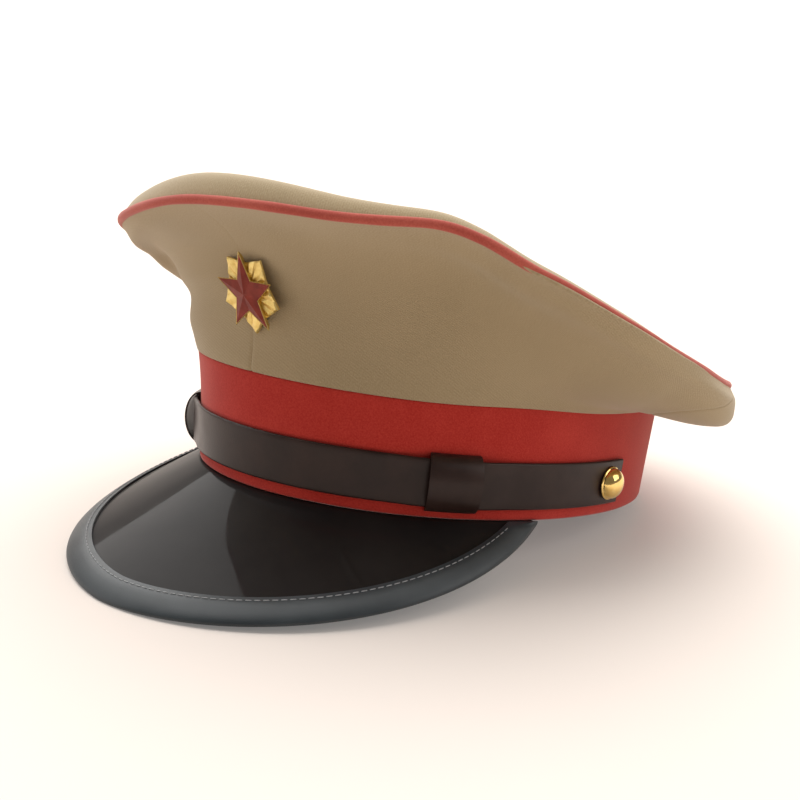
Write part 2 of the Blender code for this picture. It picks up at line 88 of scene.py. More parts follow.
def mound(angle, place, spread):
    """A smooth mound round the cap: 1 at its place, fading to 0 a few spreads away."""
    off = (angle - place + 180) % 360 - 180
    return np.exp(-(off / spread) ** 2)


def band_point(angle, height, out=0.0):
    """A point of the band's outside, or of a surface that stands out from it."""
    share = height / BAND_HEIGHT
    out = out + BAND_SWELL * mound(angle, BAND_SWELL_ANGLE, BAND_SWELL_SPREAD) * np.abs(share) ** 3
    half_width = BAND_HALF_WIDTH + BAND_FLARE * share + out
    half_length = BAND_HALF_LENGTH + BAND_FLARE * share + out
    return points(half_width * sine(angle), -half_length * cosine(angle) - BAND_RAKE * share, height)


# %% The tip of the resting cap
REST_TILT = 7.894


def cap_place():
    """The matrix that lays the cap on the floor. The band's solid starts at its front lower edge
    and stands on its back lower edge, so its box gives both shifts."""
    tip = Matrix.Rotation(math.radians(-REST_TILT), 4, "X")
    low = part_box("band")[0]
    front = tip @ Vector((0, -BAND_HALF_LENGTH, 0))
    heel = tip @ Vector((0, BAND_HALF_LENGTH, 0))
    return Matrix.Translation((0, low.y - front.y, low.z - heel.z)) @ tip


CAP_PLACE = cap_place()
print("the band's lower ring is centred at", [round(v, 4) for v in CAP_PLACE.translation])

# %% [markdown]
# ## Smooth tables
#
# Some forms change round the cap in a way that no simple formula gives, such as how high the
# piping runs. A short table of a few angles says it, and a smooth curve reads between its
# rows. The curve used here never passes above or below its rows, so a crown read from it has
# no waves that nobody asked for.

# %% Read a table smoothly


def read_table(table, angle, column):
    """Read one column of a table at any angles, on a smooth curve that stays within its rows."""
    rows = np.array(table, float)
    at = rows[:, 0]
    value = rows[:, column]
    slope = np.diff(value) / np.diff(at)
    tangent = np.zeros(len(at))
    same_way = slope[:-1] * slope[1:] > 0
    total = np.where(same_way, slope[:-1] + slope[1:], 1.0)
    tangent[1:-1] = np.where(same_way, 2 * slope[:-1] * slope[1:] / total, 0.0)
    folded = np.abs(np.asarray(angle, float)) % 360
    folded = np.minimum(folded, 360 - folded)
    i = np.clip(np.searchsorted(at, folded, side="right") - 1, 0, len(at) - 2)
    span = at[i + 1] - at[i]
    t = (folded - at[i]) / span
    return (value[i] * (1 + 2 * t) * (1 - t) ** 2 + value[i + 1] * t * t * (3 - 2 * t)
            + span * tangent[i] * t * (1 - t) ** 2 - span * tangent[i + 1] * t * t * (1 - t))


# %% [markdown]
# ## The line of the piping
#
# The piping is the edge that gives the cap its character: high and full over the forehead,
# falling in a long sweep to the back. Its plan is an oval set a little forward of the band.
# Its height comes from a table, and a slight lean makes one side of the front stand higher,
# as the real cap's does.

# %% Piping sizes
CROWN_HALF_WIDTH = 0.1195
CROWN_HALF_LENGTH = 0.1315
CROWN_SET_FORWARD = 0.0115
CROWN_FRONT_RISE = 0.0572
CROWN_BACK_RISE = 0.0052
CROWN_LEAN = 0.105
PIPING_DIAMETER = 0.0032
PIPING_TUCK = 0.0014         # the cloth rolls out past the piping here
PIPING_TUCK_ANGLE = -60
PIPING_TUCK_SPREAD = 42
PIPING_KINKS = (
    # angle, spread, height in millimetres
    (29, 9, -1.1),
    (44.5, 6, 1.3),
    (55, 6, -0.7),
)

PIPING_RISE = (
    # angle, share of the way from the back's height to the front's
    (0, 1.00),
    (20, 0.95),
    (40, 0.895),
    (50, 0.835),
    (60, 0.68),
    (75, 0.46),
    (90, 0.27),
    (110, 0.115),
    (140, 0.05),
    (180, 0.00),
)


def piping_point(angle):
    """The middle of the piping at an angle round the crown."""
    tuck = PIPING_TUCK * mound(angle, PIPING_TUCK_ANGLE, PIPING_TUCK_SPREAD)
    x = (CROWN_HALF_WIDTH - tuck) * sine(angle)
    y = -(CROWN_HALF_LENGTH - tuck) * cosine(angle) - CROWN_SET_FORWARD
    rise = CROWN_BACK_RISE + (CROWN_FRONT_RISE - CROWN_BACK_RISE) * read_table(PIPING_RISE, angle, 1)
    rise = rise + sum(height / 1000 * mound(angle, place, wide) for place, wide, height in PIPING_KINKS)
    return points(x, y, BAND_HEIGHT + rise + CROWN_LEAN * x * (1 + cosine(angle)) / 2)


print("piping: front", piping_point(0)[2].round(4), "back", piping_point(180)[2].round(4))

# %% [markdown]
# ## Turning a surface into cloth
#
# Each cloth piece is first a grid of points on its outside. A sheet of cloth has an inside
# and a soft edge too, so one helper takes any grid, steps inwards along the surface's own
# direction, and joins the two faces with a half-round rim. Blender's Solidify modifier could
# do the first part, but the rim would be square, and a square edge is what gives a computer
# model of cloth away. The helper also writes where each point lies on the flat cloth, in
# metres, so the weave can follow the cut of the piece.

# %% Grid helpers


def unit(vectors):
    return vectors / np.maximum(np.linalg.norm(vectors, axis=-1, keepdims=True), 1e-12)


def outward_of(grid, wraps, up_facing=False):
    """The outward direction at each point of a grid, from its neighbours.

    Outward is away from the cap's upright axis, or up for a piece that faces up.
    """
    if wraps:
        along = np.roll(grid, -1, 0) - np.roll(grid, 1, 0)
    else:
        along = np.gradient(grid, axis=0)
    up = np.gradient(grid, axis=1)
    direction = unit(np.cross(along, up))
    towards = np.array([0, 0, 1.0]) if up_facing else grid * (1, 1, 0)
    return direction * np.sign((direction * towards).sum())


def sheet_faces(rows, ring, columns, rim, wraps):
    """The faces that join the closed rings of a sheet's sections, with end faces if it is open.

    A ring is the outside's columns, a rim of so many points, the inside's columns and a rim.
    """
    faces = []
    for i in range(rows if wraps else rows - 1):
        j = (i + 1) % rows
        for k in range(ring):
            n = (k + 1) % ring
            faces.append((i * ring + k, i * ring + n, j * ring + n, j * ring + k))
    if wraps:
        return faces
    for i in (0, rows - 1):
        far = 2 * columns + rim - 1
        for k in range(columns - 1):
            faces.append((i * ring + k, i * ring + k + 1, i * ring + far - k - 1, i * ring + far - k))
        if rim:
            faces.append(tuple(i * ring + k for k in range(columns - 1, columns + rim + 1)))
            faces.append(tuple(i * ring + k % ring for k in range(far, far + rim + 2)))
    return faces


def clean_mesh(name, verts, faces, crease=40):
    """A mesh with its faces pointing out, smooth except where it turns sharply."""
    mesh = bpy.data.meshes.new(name)
    mesh.from_pydata([tuple(v) for v in verts], [], faces)
    bm = bmesh.new()
    bm.from_mesh(mesh)
    bmesh.ops.recalc_face_normals(bm, faces=bm.faces)
    bm.to_mesh(mesh)
    bm.free()
    mesh.shade_smooth()
    mesh.set_sharp_from_angle(angle=math.radians(crease))
    return mesh


def write_weave(mesh, weave):
    """Store each point's place on the flat cloth, for the weave in the finish."""
    if weave is None:
        return
    attribute = mesh.attributes.new("weave", "FLOAT_VECTOR", "POINT")
    flat = np.concatenate([weave, np.zeros_like(weave[..., :1])], -1)
    attribute.data.foreach_set("vector", flat.astype(np.float32).ravel())


# %% Dress a node with a finer piece


def dress(name, mesh, node, finish):
    """Stand a finer mesh, drawn in the cap's own axes, where a CAD node is."""
    mesh.transform(CAP_PLACE)
    mesh.materials.append(finish)
    piece = bpy.data.objects.new(name, mesh)
    bpy.context.scene.collection.objects.link(piece)
    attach(piece, "root")
    if node:
        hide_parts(node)
    past = ""
    if node:
        corners = np.array([v.co for v in mesh.vertices])
        low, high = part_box(node)
        past = [round(1000 * float(v), 1) for v in (*(corners.min(0) - low), *(corners.max(0) - high))]
    print(f"{name}: {len(mesh.polygons)} faces; millimetres past its solid's box: {past}")
    return piece


RIM_ANGLES = (60, 20, -20, -60)


def cloth_sheet(name, outer, thickness, wraps=False, weave=None, crease=40):
    """Thick cloth from the grid of its outside, with half-round rims along its first and last column."""
    out = outward_of(outer, wraps)
    inner = outer - out * thickness
    half = thickness / 2

    def rim(end, beside, angles):
        centre = (outer[:, end] + inner[:, end]) / 2
        away = unit(outer[:, end] - outer[:, beside])
        return np.stack([centre + half * (cosine(a) * away + sine(a) * out[:, end]) for a in angles], 1)

    top = rim(-1, -2, RIM_ANGLES)
    bottom = rim(0, 1, RIM_ANGLES[::-1])
    section = np.concatenate([outer, top, inner[:, ::-1], bottom], 1)
    rows, ring = section.shape[:2]
    columns = outer.shape[1]
    faces = sheet_faces(rows, ring, columns, len(RIM_ANGLES), wraps)
    mesh = clean_mesh(name, section.reshape(-1, 3), faces, crease)
    if weave is not None:
        rims = len(RIM_ANGLES)
        weave = np.concatenate([weave, np.repeat(weave[:, -1:], rims, 1), weave[:, ::-1],
                                np.repeat(weave[:, :1], rims, 1)], 1)
        write_weave(mesh, weave.reshape(-1, 2))
    return mesh


def thin_wall(name, outer, inner, wraps=False, crease=40):
    """A closed wall between the grids of its outside and its inside, with square edges."""
    section = np.concatenate([outer, inner[:, ::-1]], 1)
    rows, ring = section.shape[:2]
    faces = sheet_faces(rows, ring, outer.shape[1], 0, wraps)
    return clean_mesh(name, section.reshape(-1, 3), faces, crease)


# %% [markdown]
# ## Shader helpers
#
# Every finish is a Principled BSDF with a few nodes in front of it. Wiring nodes by hand is
# wordy, so two small helpers add a node and set its inputs in one call. An input may be a
# number or another node's output. Values that are the same all over a piece are set on the
# shader itself.

# %% Node helpers


def start_finish(name, roughness, **values):
    """A new finish: its material, its node tree and its shader."""
    finish = bpy.data.materials.new(name)
    finish.use_nodes = True
    tree = finish.node_tree
    shader = tree.nodes["Principled BSDF"]
    shader.inputs["Roughness"].default_value = roughness
    for socket, value in values.items():
        shader.inputs[socket.replace("_", " ")].default_value = value
    return finish, tree, shader


def node(tree, kind, *inputs, **settings):
    """Add a node, set its properties, fill its inputs in order, and return its first output."""
    new = tree.nodes.new(kind)
    for key, value in settings.items():
        setattr(new, key, value)
    for socket, value in zip(new.inputs, inputs):
        if value is None:
            continue
        if isinstance(value, bpy.types.NodeSocket):
            tree.links.new(value, socket)
        else:
            socket.default_value = value
    return new.outputs[0]


def maths(tree, operation, a, b=None):
    return node(tree, "ShaderNodeMath", a, b, operation=operation)


def noise(tree, where, scale, detail=2.0):
    """Soft random blotches, from 0 to 1, at so many to the metre."""
    new = tree.nodes.new("ShaderNodeTexNoise")
    tree.links.new(where, new.inputs["Vector"])
    new.inputs["Scale"].default_value = scale
    new.inputs["Detail"].default_value = detail
    return new.outputs[0]


def spread(tree, value, low, high, new_low=0.0, new_high=1.0):
    """Stretch a value from one range to another, clamped at its ends."""
    return node(tree, "ShaderNodeMapRange", value, low, high, new_low, new_high)


def blend_colours(tree, share, first, second):
    """Mix two colours by a share from 0 to 1."""
    new = tree.nodes.new("ShaderNodeMix")
    new.data_type = "RGBA"
    colour_inputs = [s for s in new.inputs if s.type == "RGBA"]
    tree.links.new(share, new.inputs[0])
    for socket, value in zip(colour_inputs, (first, second)):
        if isinstance(value, bpy.types.NodeSocket):
            tree.links.new(value, socket)
        else:
            socket.default_value = (*value, 1)
    return next(s for s in new.outputs if s.type == "RGBA")


def paint(tree, shader, share, low, high, first, second):
    """Colour the shader from one colour to another as a share goes from low to high."""
    colour = blend_colours(tree, spread(tree, share, low, high), first, second)
    tree.links.new(colour, shader.inputs["Base Color"])


def raise_surface(tree, shader, height, strength, distance):
    """Bump the shader by a height; distance is the height's size in metres."""
    bump = tree.nodes.new("ShaderNodeBump")
    bump.inputs["Strength"].default_value = strength
    bump.inputs["Distance"].default_value = distance
    tree.links.new(height, bump.inputs["Height"])
    tree.links.new(bump.outputs[0], shader.inputs["Normal"])


def on_object(tree):
    """The place on the piece in metres."""
    return tree.nodes.new("ShaderNodeTexCoord").outputs["Object"]


# %% [markdown]
# ## Khaki twill
#
# The crown is cut from a cotton twill. Its weave shows as fine slanting ridges, less than a
# millimetre apart, and every ridge is a row of short floats of yarn. An image of cloth would
# stretch over the crown's curves. Two sine waves on the flat-cloth coordinates stay true to
# the cut: one across the ridges, one along them to part the floats. Blotchy noise carries the
# uneven dye, and a little sheen stands for the nap that lights up at glancing angles. The
# valleys between the ridges are darkened in the colour, which is painted shade.

# %% Khaki twill finish
TWILL_PITCH = 0.0008
FLOAT_LENGTH = 0.0009


def khaki_twill():
    finish, tree, shader = start_finish("khaki_cloth", 0.88, Sheen_Weight=0.25, Sheen_Roughness=0.5)
    shader.inputs["Specular IOR Level"].default_value = 0.25
    flat = node(tree, "ShaderNodeAttribute", attribute_name="weave")
    flat = next(o for o in flat.node.outputs if o.name == "Vector")
    split = tree.nodes.new("ShaderNodeSeparateXYZ")
    tree.links.new(flat, split.inputs[0])
    uneven = maths(tree, "MULTIPLY", noise(tree, flat, 900, 1), 0.5)
    across = maths(tree, "MULTIPLY", split.outputs[0], 2 * math.pi / TWILL_PITCH)
    ridge = maths(tree, "SINE", maths(tree, "ADD", across, uneven))
    along = maths(tree, "MULTIPLY", split.outputs[1], 2 * math.pi / FLOAT_LENGTH)
    shifted = maths(tree, "ADD", along, maths(tree, "MULTIPLY", across, 0.5))
    floats = maths(tree, "MULTIPLY", maths(tree, "SINE", shifted), 0.35)
    yarn = noise(tree, flat, 2200, 2)
    height = maths(tree, "ADD", maths(tree, "ADD", ridge, floats), maths(tree, "MULTIPLY", yarn, 1.6))
    blotch = noise(tree, on_object(tree), 22, 3)
    base = blend_colours(tree, spread(tree, blotch, 0.35, 0.65), (0.315, 0.235, 0.126), (0.355, 0.265, 0.146))
    fleck = blend_colours(tree, spread(tree, yarn, 0.3, 0.8), base, (0.42, 0.33, 0.205))
    # Painted shade: the colour darkens toward a deep khaki in the valleys between the ridges, where the
    # ridges would shade them.
    valley = spread(tree, height, -0.6, 1.4, 0.20, 0.0)
    tree.links.new(blend_colours(tree, valley, fleck, (0.21, 0.145, 0.074)), shader.inputs["Base Color"])
    raise_surface(tree, shader, height, 0.25, 0.00008)
    return finish


KHAKI = khaki_twill()
print("finish made:", KHAKI.name)

# %% [markdown]
# ## Crown side panels
#
# Three panels make the wall of the crown: a left and a right one, sewn at the front, and a
# back one. From the band the cloth puffs out a little, draws in, and then sweeps out to the
# piping. At the back it hangs slack below the piping. One smooth curve with two handles says
# all of that, and a table moves the handles round the cap.

# %% Side panel sizes
CLEARANCE = 0.0003
CROWN_SAG = 0.0114
CLOTH = 0.0013
BAND_EDGE_RISES = (
    # where the crown's foot sits higher: angle, spread, height in millimetres
    (-20, 60, 1.3),
    (67, 15, 1.1),
)

SIDE_BEND = (
    # angle, lower out, lower up, upper out, upper up, sag
    (0, 0.08, 0.64, 0.22, 0.80, 0.0),
    (47, 0.42, 0.55, 0.16, 0.76, 0.0),
    (90, 0.35, 0.18, 0.86, 0.28, 0.1),
    (112, 0.61, -0.14, 1.48, 0.12, 0.5),
    (130, 0.71, 0.06, 1.42, 0.13, 0.95),
    (180, 0.70, 0.00, 1.35, 0.12, 0.9),
)


def band_edge_rise(angle):
    return sum(height / 1000 * mound(angle, place, wide) for place, wide, height in BAND_EDGE_RISES)


def side_handles(angle):
    """The two ends and the two handles of the side panel's curve, from the band to the piping."""
    foot = band_point(angle, BAND_HEIGHT)
    foot[..., 2] += CLEARANCE + band_edge_rise(angle)
    edge = piping_point(angle)
    rise = edge[..., 2] - foot[..., 2]
    drop = read_table(SIDE_BEND, angle, 5) * CROWN_SAG
    handles = []
    for out_column, up_column in ((1, 2), (3, 4)):
        out = read_table(SIDE_BEND, angle, out_column)[..., None]
        handle = foot + (edge - foot) * out
        handle[..., 2] = foot[..., 2] + read_table(SIDE_BEND, angle, up_column) * rise - drop
        handles.append(handle)
    return foot, handles[0], handles[1], edge


def side_curve(angle, share):
    """A side panel's plain form, from the band (share 0) to the piping's middle (share 1)."""
    foot, lower, upper, edge = side_handles(angle)
    t = np.asarray(share, float)[..., None]
    return foot * (1 - t) ** 3 + lower * 3 * t * (1 - t) ** 2 + upper * 3 * t * t * (1 - t) + edge * t ** 3


# %% [markdown]
# ## Soft folds
#
# Sewn cloth is never as even as its pattern. The table holds the few soft hollows and rolls
# that the cap shows, each a smooth mound by its place, its spread and its height. A groove
# at each seam draws the panel's edges in, which is what a seam looks like from outside.

# %% Folds and seam grooves
SOFT_FOLDS = (
    # angle, share, spread in degrees, spread in share, height in millimetres
    (-18, 0.64, 12, 0.12, -1.3),
    (-20, 0.42, 15, 0.06, 0.5),
    (-42, 0.30, 26, 0.11, -2.4),
    (-50, 0.12, 30, 0.07, 0.7),
    (-43, 0.92, 19, 0.07, 4.9),
    (-100, 0.90, 26, 0.06, 1.2),
    (14, 0.80, 12, 0.12, -0.5),
    (15, 0.56, 6, 0.16, 0.8),
    (30, 0.30, 16, 0.20, -0.4),
    (55, 0.84, 13, 0.07, 1.2),
    (72, 0.90, 16, 0.06, 1.0),
    (100, 0.90, 20, 0.06, 0.9),
    (74, 0.35, 14, 0.22, 0.5),
    (108, 0.10, 6, 0.10, -1.2),
    (116, 0.62, 9, 0.16, 0.9),
    (136, 0.90, 16, 0.06, 0.9),
    (150, 0.45, 8, 0.30, 0.7),
    (163, 0.55, 5, 0.25, -0.6),
    (178, 0.50, 8, 0.30, 0.6),
    (194, 0.50, 6, 0.25, -0.6),
    (208, 0.45, 9, 0.30, 0.7),
)
SEAM_HALF_WIDTH = 0.0008
SEAM_DEPTH = 0.0003
SEAM_PUCKER = 0.8
SEAM_PUCKER_SHARE = 0.10
SEAM_GAP = 0.00002
FRONT_SEAM_FADE = 0.75       # the front seam is pressed flat above the badge
FRONT_SEAM_SPREAD = 30
FRONT_SEAM_CLIMB = 2.5
SEWN_IN_POWER = 24


def fold_height(angle, share):
    """The height of the folds, which fades out where the cloth is sewn in at the piping."""
    total = np.zeros(np.broadcast(angle, share).shape)
    for place, middle, wide, tall, height in SOFT_FOLDS:
        off = (angle - place + 180) % 360 - 180
        total += height / 1000 * np.exp(-(off / wide) ** 2 - ((share - middle) / tall) ** 2)
    return total * (1 - share ** SEWN_IN_POWER)


def seam_groove(distance, share, angle):
    """How far cloth is drawn in beside a seam, more near the band where the seam is pulled tight."""
    pucker = 1 + SEAM_PUCKER * np.exp(-(share / SEAM_PUCKER_SHARE) ** 2)
    front = mound(angle, 0, FRONT_SEAM_SPREAD) * np.clip(FRONT_SEAM_CLIMB * share, 0, 1)
    pressed = 1 - FRONT_SEAM_FADE * front
    return -SEAM_DEPTH * pucker * pressed * np.exp(-(distance / SEAM_HALF_WIDTH) ** 2)


# %% [markdown]
# ## How the twill lies on a panel
#
# A side panel is cut from flat cloth as a curved strip, so the slant of its ridges turns
# slowly along it. The strip is laid out flat again here: the run round the cap becomes an
# arc, and the height becomes the distance from it.

# %% Flat pattern of a side panel
STRIP_RADIUS = 0.40
SIDE_RUN_RADIUS = 0.105      # turns an angle round the cap into a run along the strip
TWILL_SLANT = 14


def slant(x, y, angle):
    """Turn flat-cloth places so that the first number runs across the twill's ridges."""
    return np.stack([x * sine(angle) + y * cosine(angle), x * cosine(angle) - y * sine(angle)], -1)


def side_weave(angle, share, height):
    run = np.radians(angle) * SIDE_RUN_RADIUS
    radius = STRIP_RADIUS - share * height
    turn = run / STRIP_RADIUS
    return slant(radius * np.sin(turn), STRIP_RADIUS - radius * np.cos(turn), TWILL_SLANT)


# %% [markdown]
# ## Where the seams run
#
# The front seam is straight, a hair off the middle. The two rear seams are not: the slack
# back drags the cloth, and each seam bends forward on its way up and back again at the
# piping. A table of angle against share gives the bend, and both panels read the same table,
# so they meet along it.

# %% Seam lines
FRONT_SEAM_ANGLE = 2.2
REAR_SEAM = (
    # share up the panel in hundredths, angle
    (0, 106),
    (15, 101),
    (35, 96.5),
    (50, 97),
    (65, 99.5),
    (75, 103),
    (85, 108),
    (95, 113.5),
    (100, 116),
)


def front_seam(share):
    return np.full(np.shape(share), FRONT_SEAM_ANGLE)


def rear_seam(share):
    return read_table(REAR_SEAM, 100 * np.asarray(share), 1)


# %% Make the side panels
SIDE_PANELS = (
    # node, first edge, last edge, divisions between them
    ("crown_side_left", front_seam, rear_seam, 216),
    ("crown_side_right", lambda share: -rear_seam(share), front_seam, 216),
    ("crown_side_back", rear_seam, lambda share: 360 - rear_seam(share), 300),
)
SIDE_STEPS_UP = 64
SIDE_CROWDING = 0.9
HEM_DROP = 0.0011
HEM_DROP_ANGLE = 115         # the hem hangs over the band most towards the back
HEM_DROP_SPREAD = 50
HEM_STAND = 0.0007
HEM_SHARE = 0.06
TUCK = 0.0006
COVER = 0.0004               # the side cloth laps the lower half of the piping
SIDE_COVERS = (
    # where it laps further up: angle, spread, height in millimetres
    (73, 27, 1.4),
    (-50, 26, 1.0),
)
COVER_POWER = 7


def side_panel(name, first_edge, last_edge, steps):
    even = np.linspace(0, 1, SIDE_STEPS_UP + 1)
    share = np.broadcast_to(even ** SIDE_CROWDING, (steps + 1, SIDE_STEPS_UP + 1))
    first, last = first_edge(share), last_edge(share)
    half_gap = math.degrees(SEAM_GAP / BAND_HALF_WIDTH) / 2
    along = np.linspace(0, 1, steps + 1)[:, None]
    angle = first + half_gap + (last - first - 2 * half_gap) * along
    _, _, upper, edge = side_handles(angle)
    share = share * (1 - TUCK / (3 * np.linalg.norm(edge - upper, axis=-1)))
    plain = side_curve(angle, share)
    out = outward_of(plain, False)
    radius = np.linalg.norm(plain[..., :2], axis=-1)
    beside = np.radians(np.minimum(angle - first, last - angle)) * radius
    lift = fold_height(angle, share) + seam_groove(beside, share, angle)
    hem = np.exp(-(share / HEM_SHARE) ** 2)
    cover = COVER + sum(up / 1000 * mound(angle, place, wide) for place, wide, up in SIDE_COVERS)
    lift = lift + cover * even ** COVER_POWER
    shaped = plain + out * (lift + HEM_STAND * hem)[..., None]
    shaped[..., 2] -= HEM_DROP * hem * mound(np.abs(angle), HEM_DROP_ANGLE, HEM_DROP_SPREAD)
    height = np.linalg.norm(np.diff(plain, axis=1), axis=-1).sum(1)[:, None]
    mesh = cloth_sheet(name, shaped, CLOTH, weave=side_weave(angle, share, height))
    return dress(name + "_cloth", mesh, name, KHAKI)


for panel in SIDE_PANELS:
    side_panel(*panel)

# %% [markdown]
# ## Crown top
#
# The top panel is one oval of the same cloth. Behind the front piping it is padded up in a
# roll, and the rest falls in a shallow slack dish to the back. It is drawn on rings that
# close in on its middle, crowded at the edge where the roll is steep.

# %% Top panel form
CROWN_MIDDLE_RISE = 0.0232
TOP_SLACK = 0.0042
TOP_FRONT_BULGE = 0.0115
TOP_CONE_POWER = 1.2
TOP_EDGE_POWER = 30
FRONT_BULGE_POWER = 7.2
TOP_RING_COUNT = 64
TOP_STEPS_ROUND = 360
TOP_INNER_RING = 0.985
TOP_RING_CROWDING = 2.6
TOP_FOLD_POWER = 8           # how soon the folds start inside the piping
TOP_TWILL_SLANT = 62

TOP_FOLDS = (
    # across in metres, forward in metres, spread in metres, height in millimetres
    (-0.058, 0.122, 0.020, 3.6),
    (0.030, 0.055, 0.030, -0.7),
    (-0.045, 0.020, 0.030, 0.7),
    (0.050, -0.020, 0.032, 0.6),
    (-0.020, -0.060, 0.034, -0.6),
    (0.020, -0.085, 0.022, 0.5),
)


def top_curve(angle, inward):
    """The top panel: inward is 0 at the piping's middle and 1 in the middle of the panel."""
    edge = piping_point(angle)
    r = (1 - np.asarray(inward, float))
    middle = np.array([0, -CROWN_SET_FORWARD, BAND_HEIGHT + CROWN_MIDDLE_RISE])
    place = middle + (edge - middle) * r[..., None]
    place[..., 2] = middle[2] + (edge[..., 2] - middle[2]) * r ** TOP_CONE_POWER
    front = ((1 + cosine(angle)) / 2) ** FRONT_BULGE_POWER
    place[..., 2] += (TOP_SLACK + TOP_FRONT_BULGE * front * r * r) * (1 - r ** TOP_EDGE_POWER)
    return place


def top_folds(place):
    total = np.zeros(place.shape[:-1])
    for across, forward, wide, height in TOP_FOLDS:
        away = (place[..., 0] - across) ** 2 + (place[..., 1] + forward) ** 2
        total += height / 1000 * np.exp(-away / wide ** 2)
    return total


# %% Make the top panel


def top_panel():
    angles = np.arange(TOP_STEPS_ROUND) * 360 / TOP_STEPS_ROUND
    inward = TOP_INNER_RING * np.linspace(0, 1, TOP_RING_COUNT) ** TOP_RING_CROWDING
    angle, share = np.meshgrid(angles, inward, indexing="ij")
    plain = top_curve(angle, share)
    plain[..., 2] += top_folds(plain) * (1 - (1 - share) ** TOP_FOLD_POWER)
    inner = plain - outward_of(plain, True, up_facing=True) * CLOTH
    weave = slant(plain[..., 0], plain[..., 1], TOP_TWILL_SLANT)
    rows, columns = angle.shape
    verts = np.concatenate([plain.reshape(-1, 3), inner.reshape(-1, 3),
                            plain[:, -1].mean(0, keepdims=True), inner[:, -1].mean(0, keepdims=True)])
    faces = []
    half = rows * columns
    for i in range(rows):
        j = (i + 1) % rows
        for k in range(columns - 1):
            a, b, c, d = i * columns + k, i * columns + k + 1, j * columns + k + 1, j * columns + k
            faces += [(a, b, c, d), (half + a, half + d, half + c, half + b)]
        faces.append((i * columns, j * columns, half + j * columns, half + i * columns))
        last_i, last_j = i * columns + columns - 1, j * columns + columns - 1
        faces += [(last_i, 2 * half, last_j), (half + last_i, half + last_j, 2 * half + 1)]
    mesh = clean_mesh("crown_top", verts, faces)
    flat = np.concatenate([weave.reshape(-1, 2)] * 2 + [weave[:, -1].mean(0, keepdims=True)] * 2)
    write_weave(mesh, flat)
    return dress("crown_top_cloth", mesh, "crown_top", KHAKI)


top_panel()

# %% [markdown]
# ## Red cloth
#
# The band and the piping are covered in a close red cloth. It is felted, so no weave shows,
# only a soft fuzz that goes pale where the surface turns away from the eye. Sheen gives that
# paling, two scales of noise give the fibres and the wear, and a faint bump keeps the
# surface from looking like paint.

# %% Red cloth finish


def red_cloth(name, dark, light, fuzz):
    finish, tree, shader = start_finish(name, 0.92, Sheen_Weight=fuzz, Sheen_Roughness=0.45)
    shader.inputs["Sheen Tint"].default_value = (1.0, 0.75, 0.72, 1)
    shader.inputs["Specular IOR Level"].default_value = 0.2
    place = on_object(tree)
    fibres = noise(tree, place, 1700, 3)
    wear = noise(tree, place, 35, 3)
    mixed = maths(tree, "ADD", maths(tree, "MULTIPLY", fibres, 0.55), maths(tree, "MULTIPLY", wear, 0.45))
    paint(tree, shader, mixed, 0.38, 0.64, dark, light)
    raise_surface(tree, shader, fibres, 0.35, 0.00015)
    return finish


BAND_RED = red_cloth("red_cloth", (0.40, 0.021, 0.014), (0.51, 0.042, 0.029), 0.35)
PIPING_RED = red_cloth("red_piping_cloth", (0.36, 0.064, 0.046), (0.45, 0.098, 0.070), 0.35)
print("finishes made:", BAND_RED.name, PIPING_RED.name)

# %% [markdown]
# ## Band
#
# The band is a stiff oval wall wrapped in the red cloth. The cloth turns over both edges, so
# they are round, and it is not quite flat: a slow unevenness of a tenth of a millimetre is
# enough for the light to show it as cloth.

# %% Make the band
BAND_STEPS_ROUND = 360
BAND_STEPS_UP = 20
BAND_UNEVEN = 0.00012
BAND_WAVES = (
    # waves round the band, their shift in degrees, degrees to the metre upwards, their shift
    (7, 40, 5200, 0),
    (11, 0, 3100, 60),
)


def make_band():
    angles = np.arange(BAND_STEPS_ROUND) * 360 / BAND_STEPS_ROUND
    edge = BAND_WALL / 2
    heights = np.linspace(edge, BAND_HEIGHT - edge, BAND_STEPS_UP + 1)
    angle, height = np.meshgrid(angles, heights, indexing="ij")
    height = height + band_edge_rise(angle) * (height / BAND_HEIGHT) ** 2
    wave = sum(sine(angle * count + shift) * sine(height * climb + start)
               for count, shift, climb, start in BAND_WAVES)
    outer = band_point(angle, height, BAND_UNEVEN * wave / 2)
    mesh = cloth_sheet("band", outer, BAND_WALL, wraps=True)
    return dress("band_cloth", mesh, "band", BAND_RED)


make_band()

# %% [markdown]
# ## Piping
#
# Piping is a cord in a folded strip of red cloth, caught in the seam between the top and the
# sides. It is a long closed tube. A curve with a bevel would give one in a line, but a mesh
# lets the cord swell and shrink a little along its length as a sewn one does.

# %% Make the piping
PIPING_STEPS = 720
PIPING_SIDES = 16
PIPING_SWELL = 0.03
SWELL_WAVES = ((23, 0), (41, 30))  # waves round the crown, and their shift in degrees
CORD_SINKS = (
    # where the cord sinks between the two cloths: angle, spread, inwards and down in millimetres
    (72, 23, 1.5, 0.5),
    (-50, 22, 0.6, 0.1),
)


def make_piping():
    angles = np.arange(PIPING_STEPS) * 360 / PIPING_STEPS
    route = piping_point(angles)
    for place, wide, inwards, down in CORD_SINKS:
        sink = mound(angles, place, wide)[:, None] / 1000
        route = route - sink * (inwards * unit(route * (1, 1, 0)) + (0, 0, down))
    run = unit(np.roll(route, -1, 0) - np.roll(route, 1, 0))
    side = unit(np.cross(run, (0, 0, 1)))
    up = np.cross(side, run)
    waves = sum(sine(angles * count + shift) for count, shift in SWELL_WAVES)
    swell = 1 + PIPING_SWELL * waves / 2
    radius = PIPING_DIAMETER / 2 * swell[:, None, None]
    turn = np.arange(PIPING_SIDES) * 360 / PIPING_SIDES
    ring = side[:, None] * cosine(turn)[None, :, None] + up[:, None] * sine(turn)[None, :, None]
    verts = (route[:, None] + ring * radius).reshape(-1, 3)
    faces = sheet_faces(PIPING_STEPS, PIPING_SIDES, 0, 0, True)
    return dress("crown_piping_cord", clean_mesh("crown_piping", verts, faces), "crown_piping",
                 PIPING_RED)


make_piping()

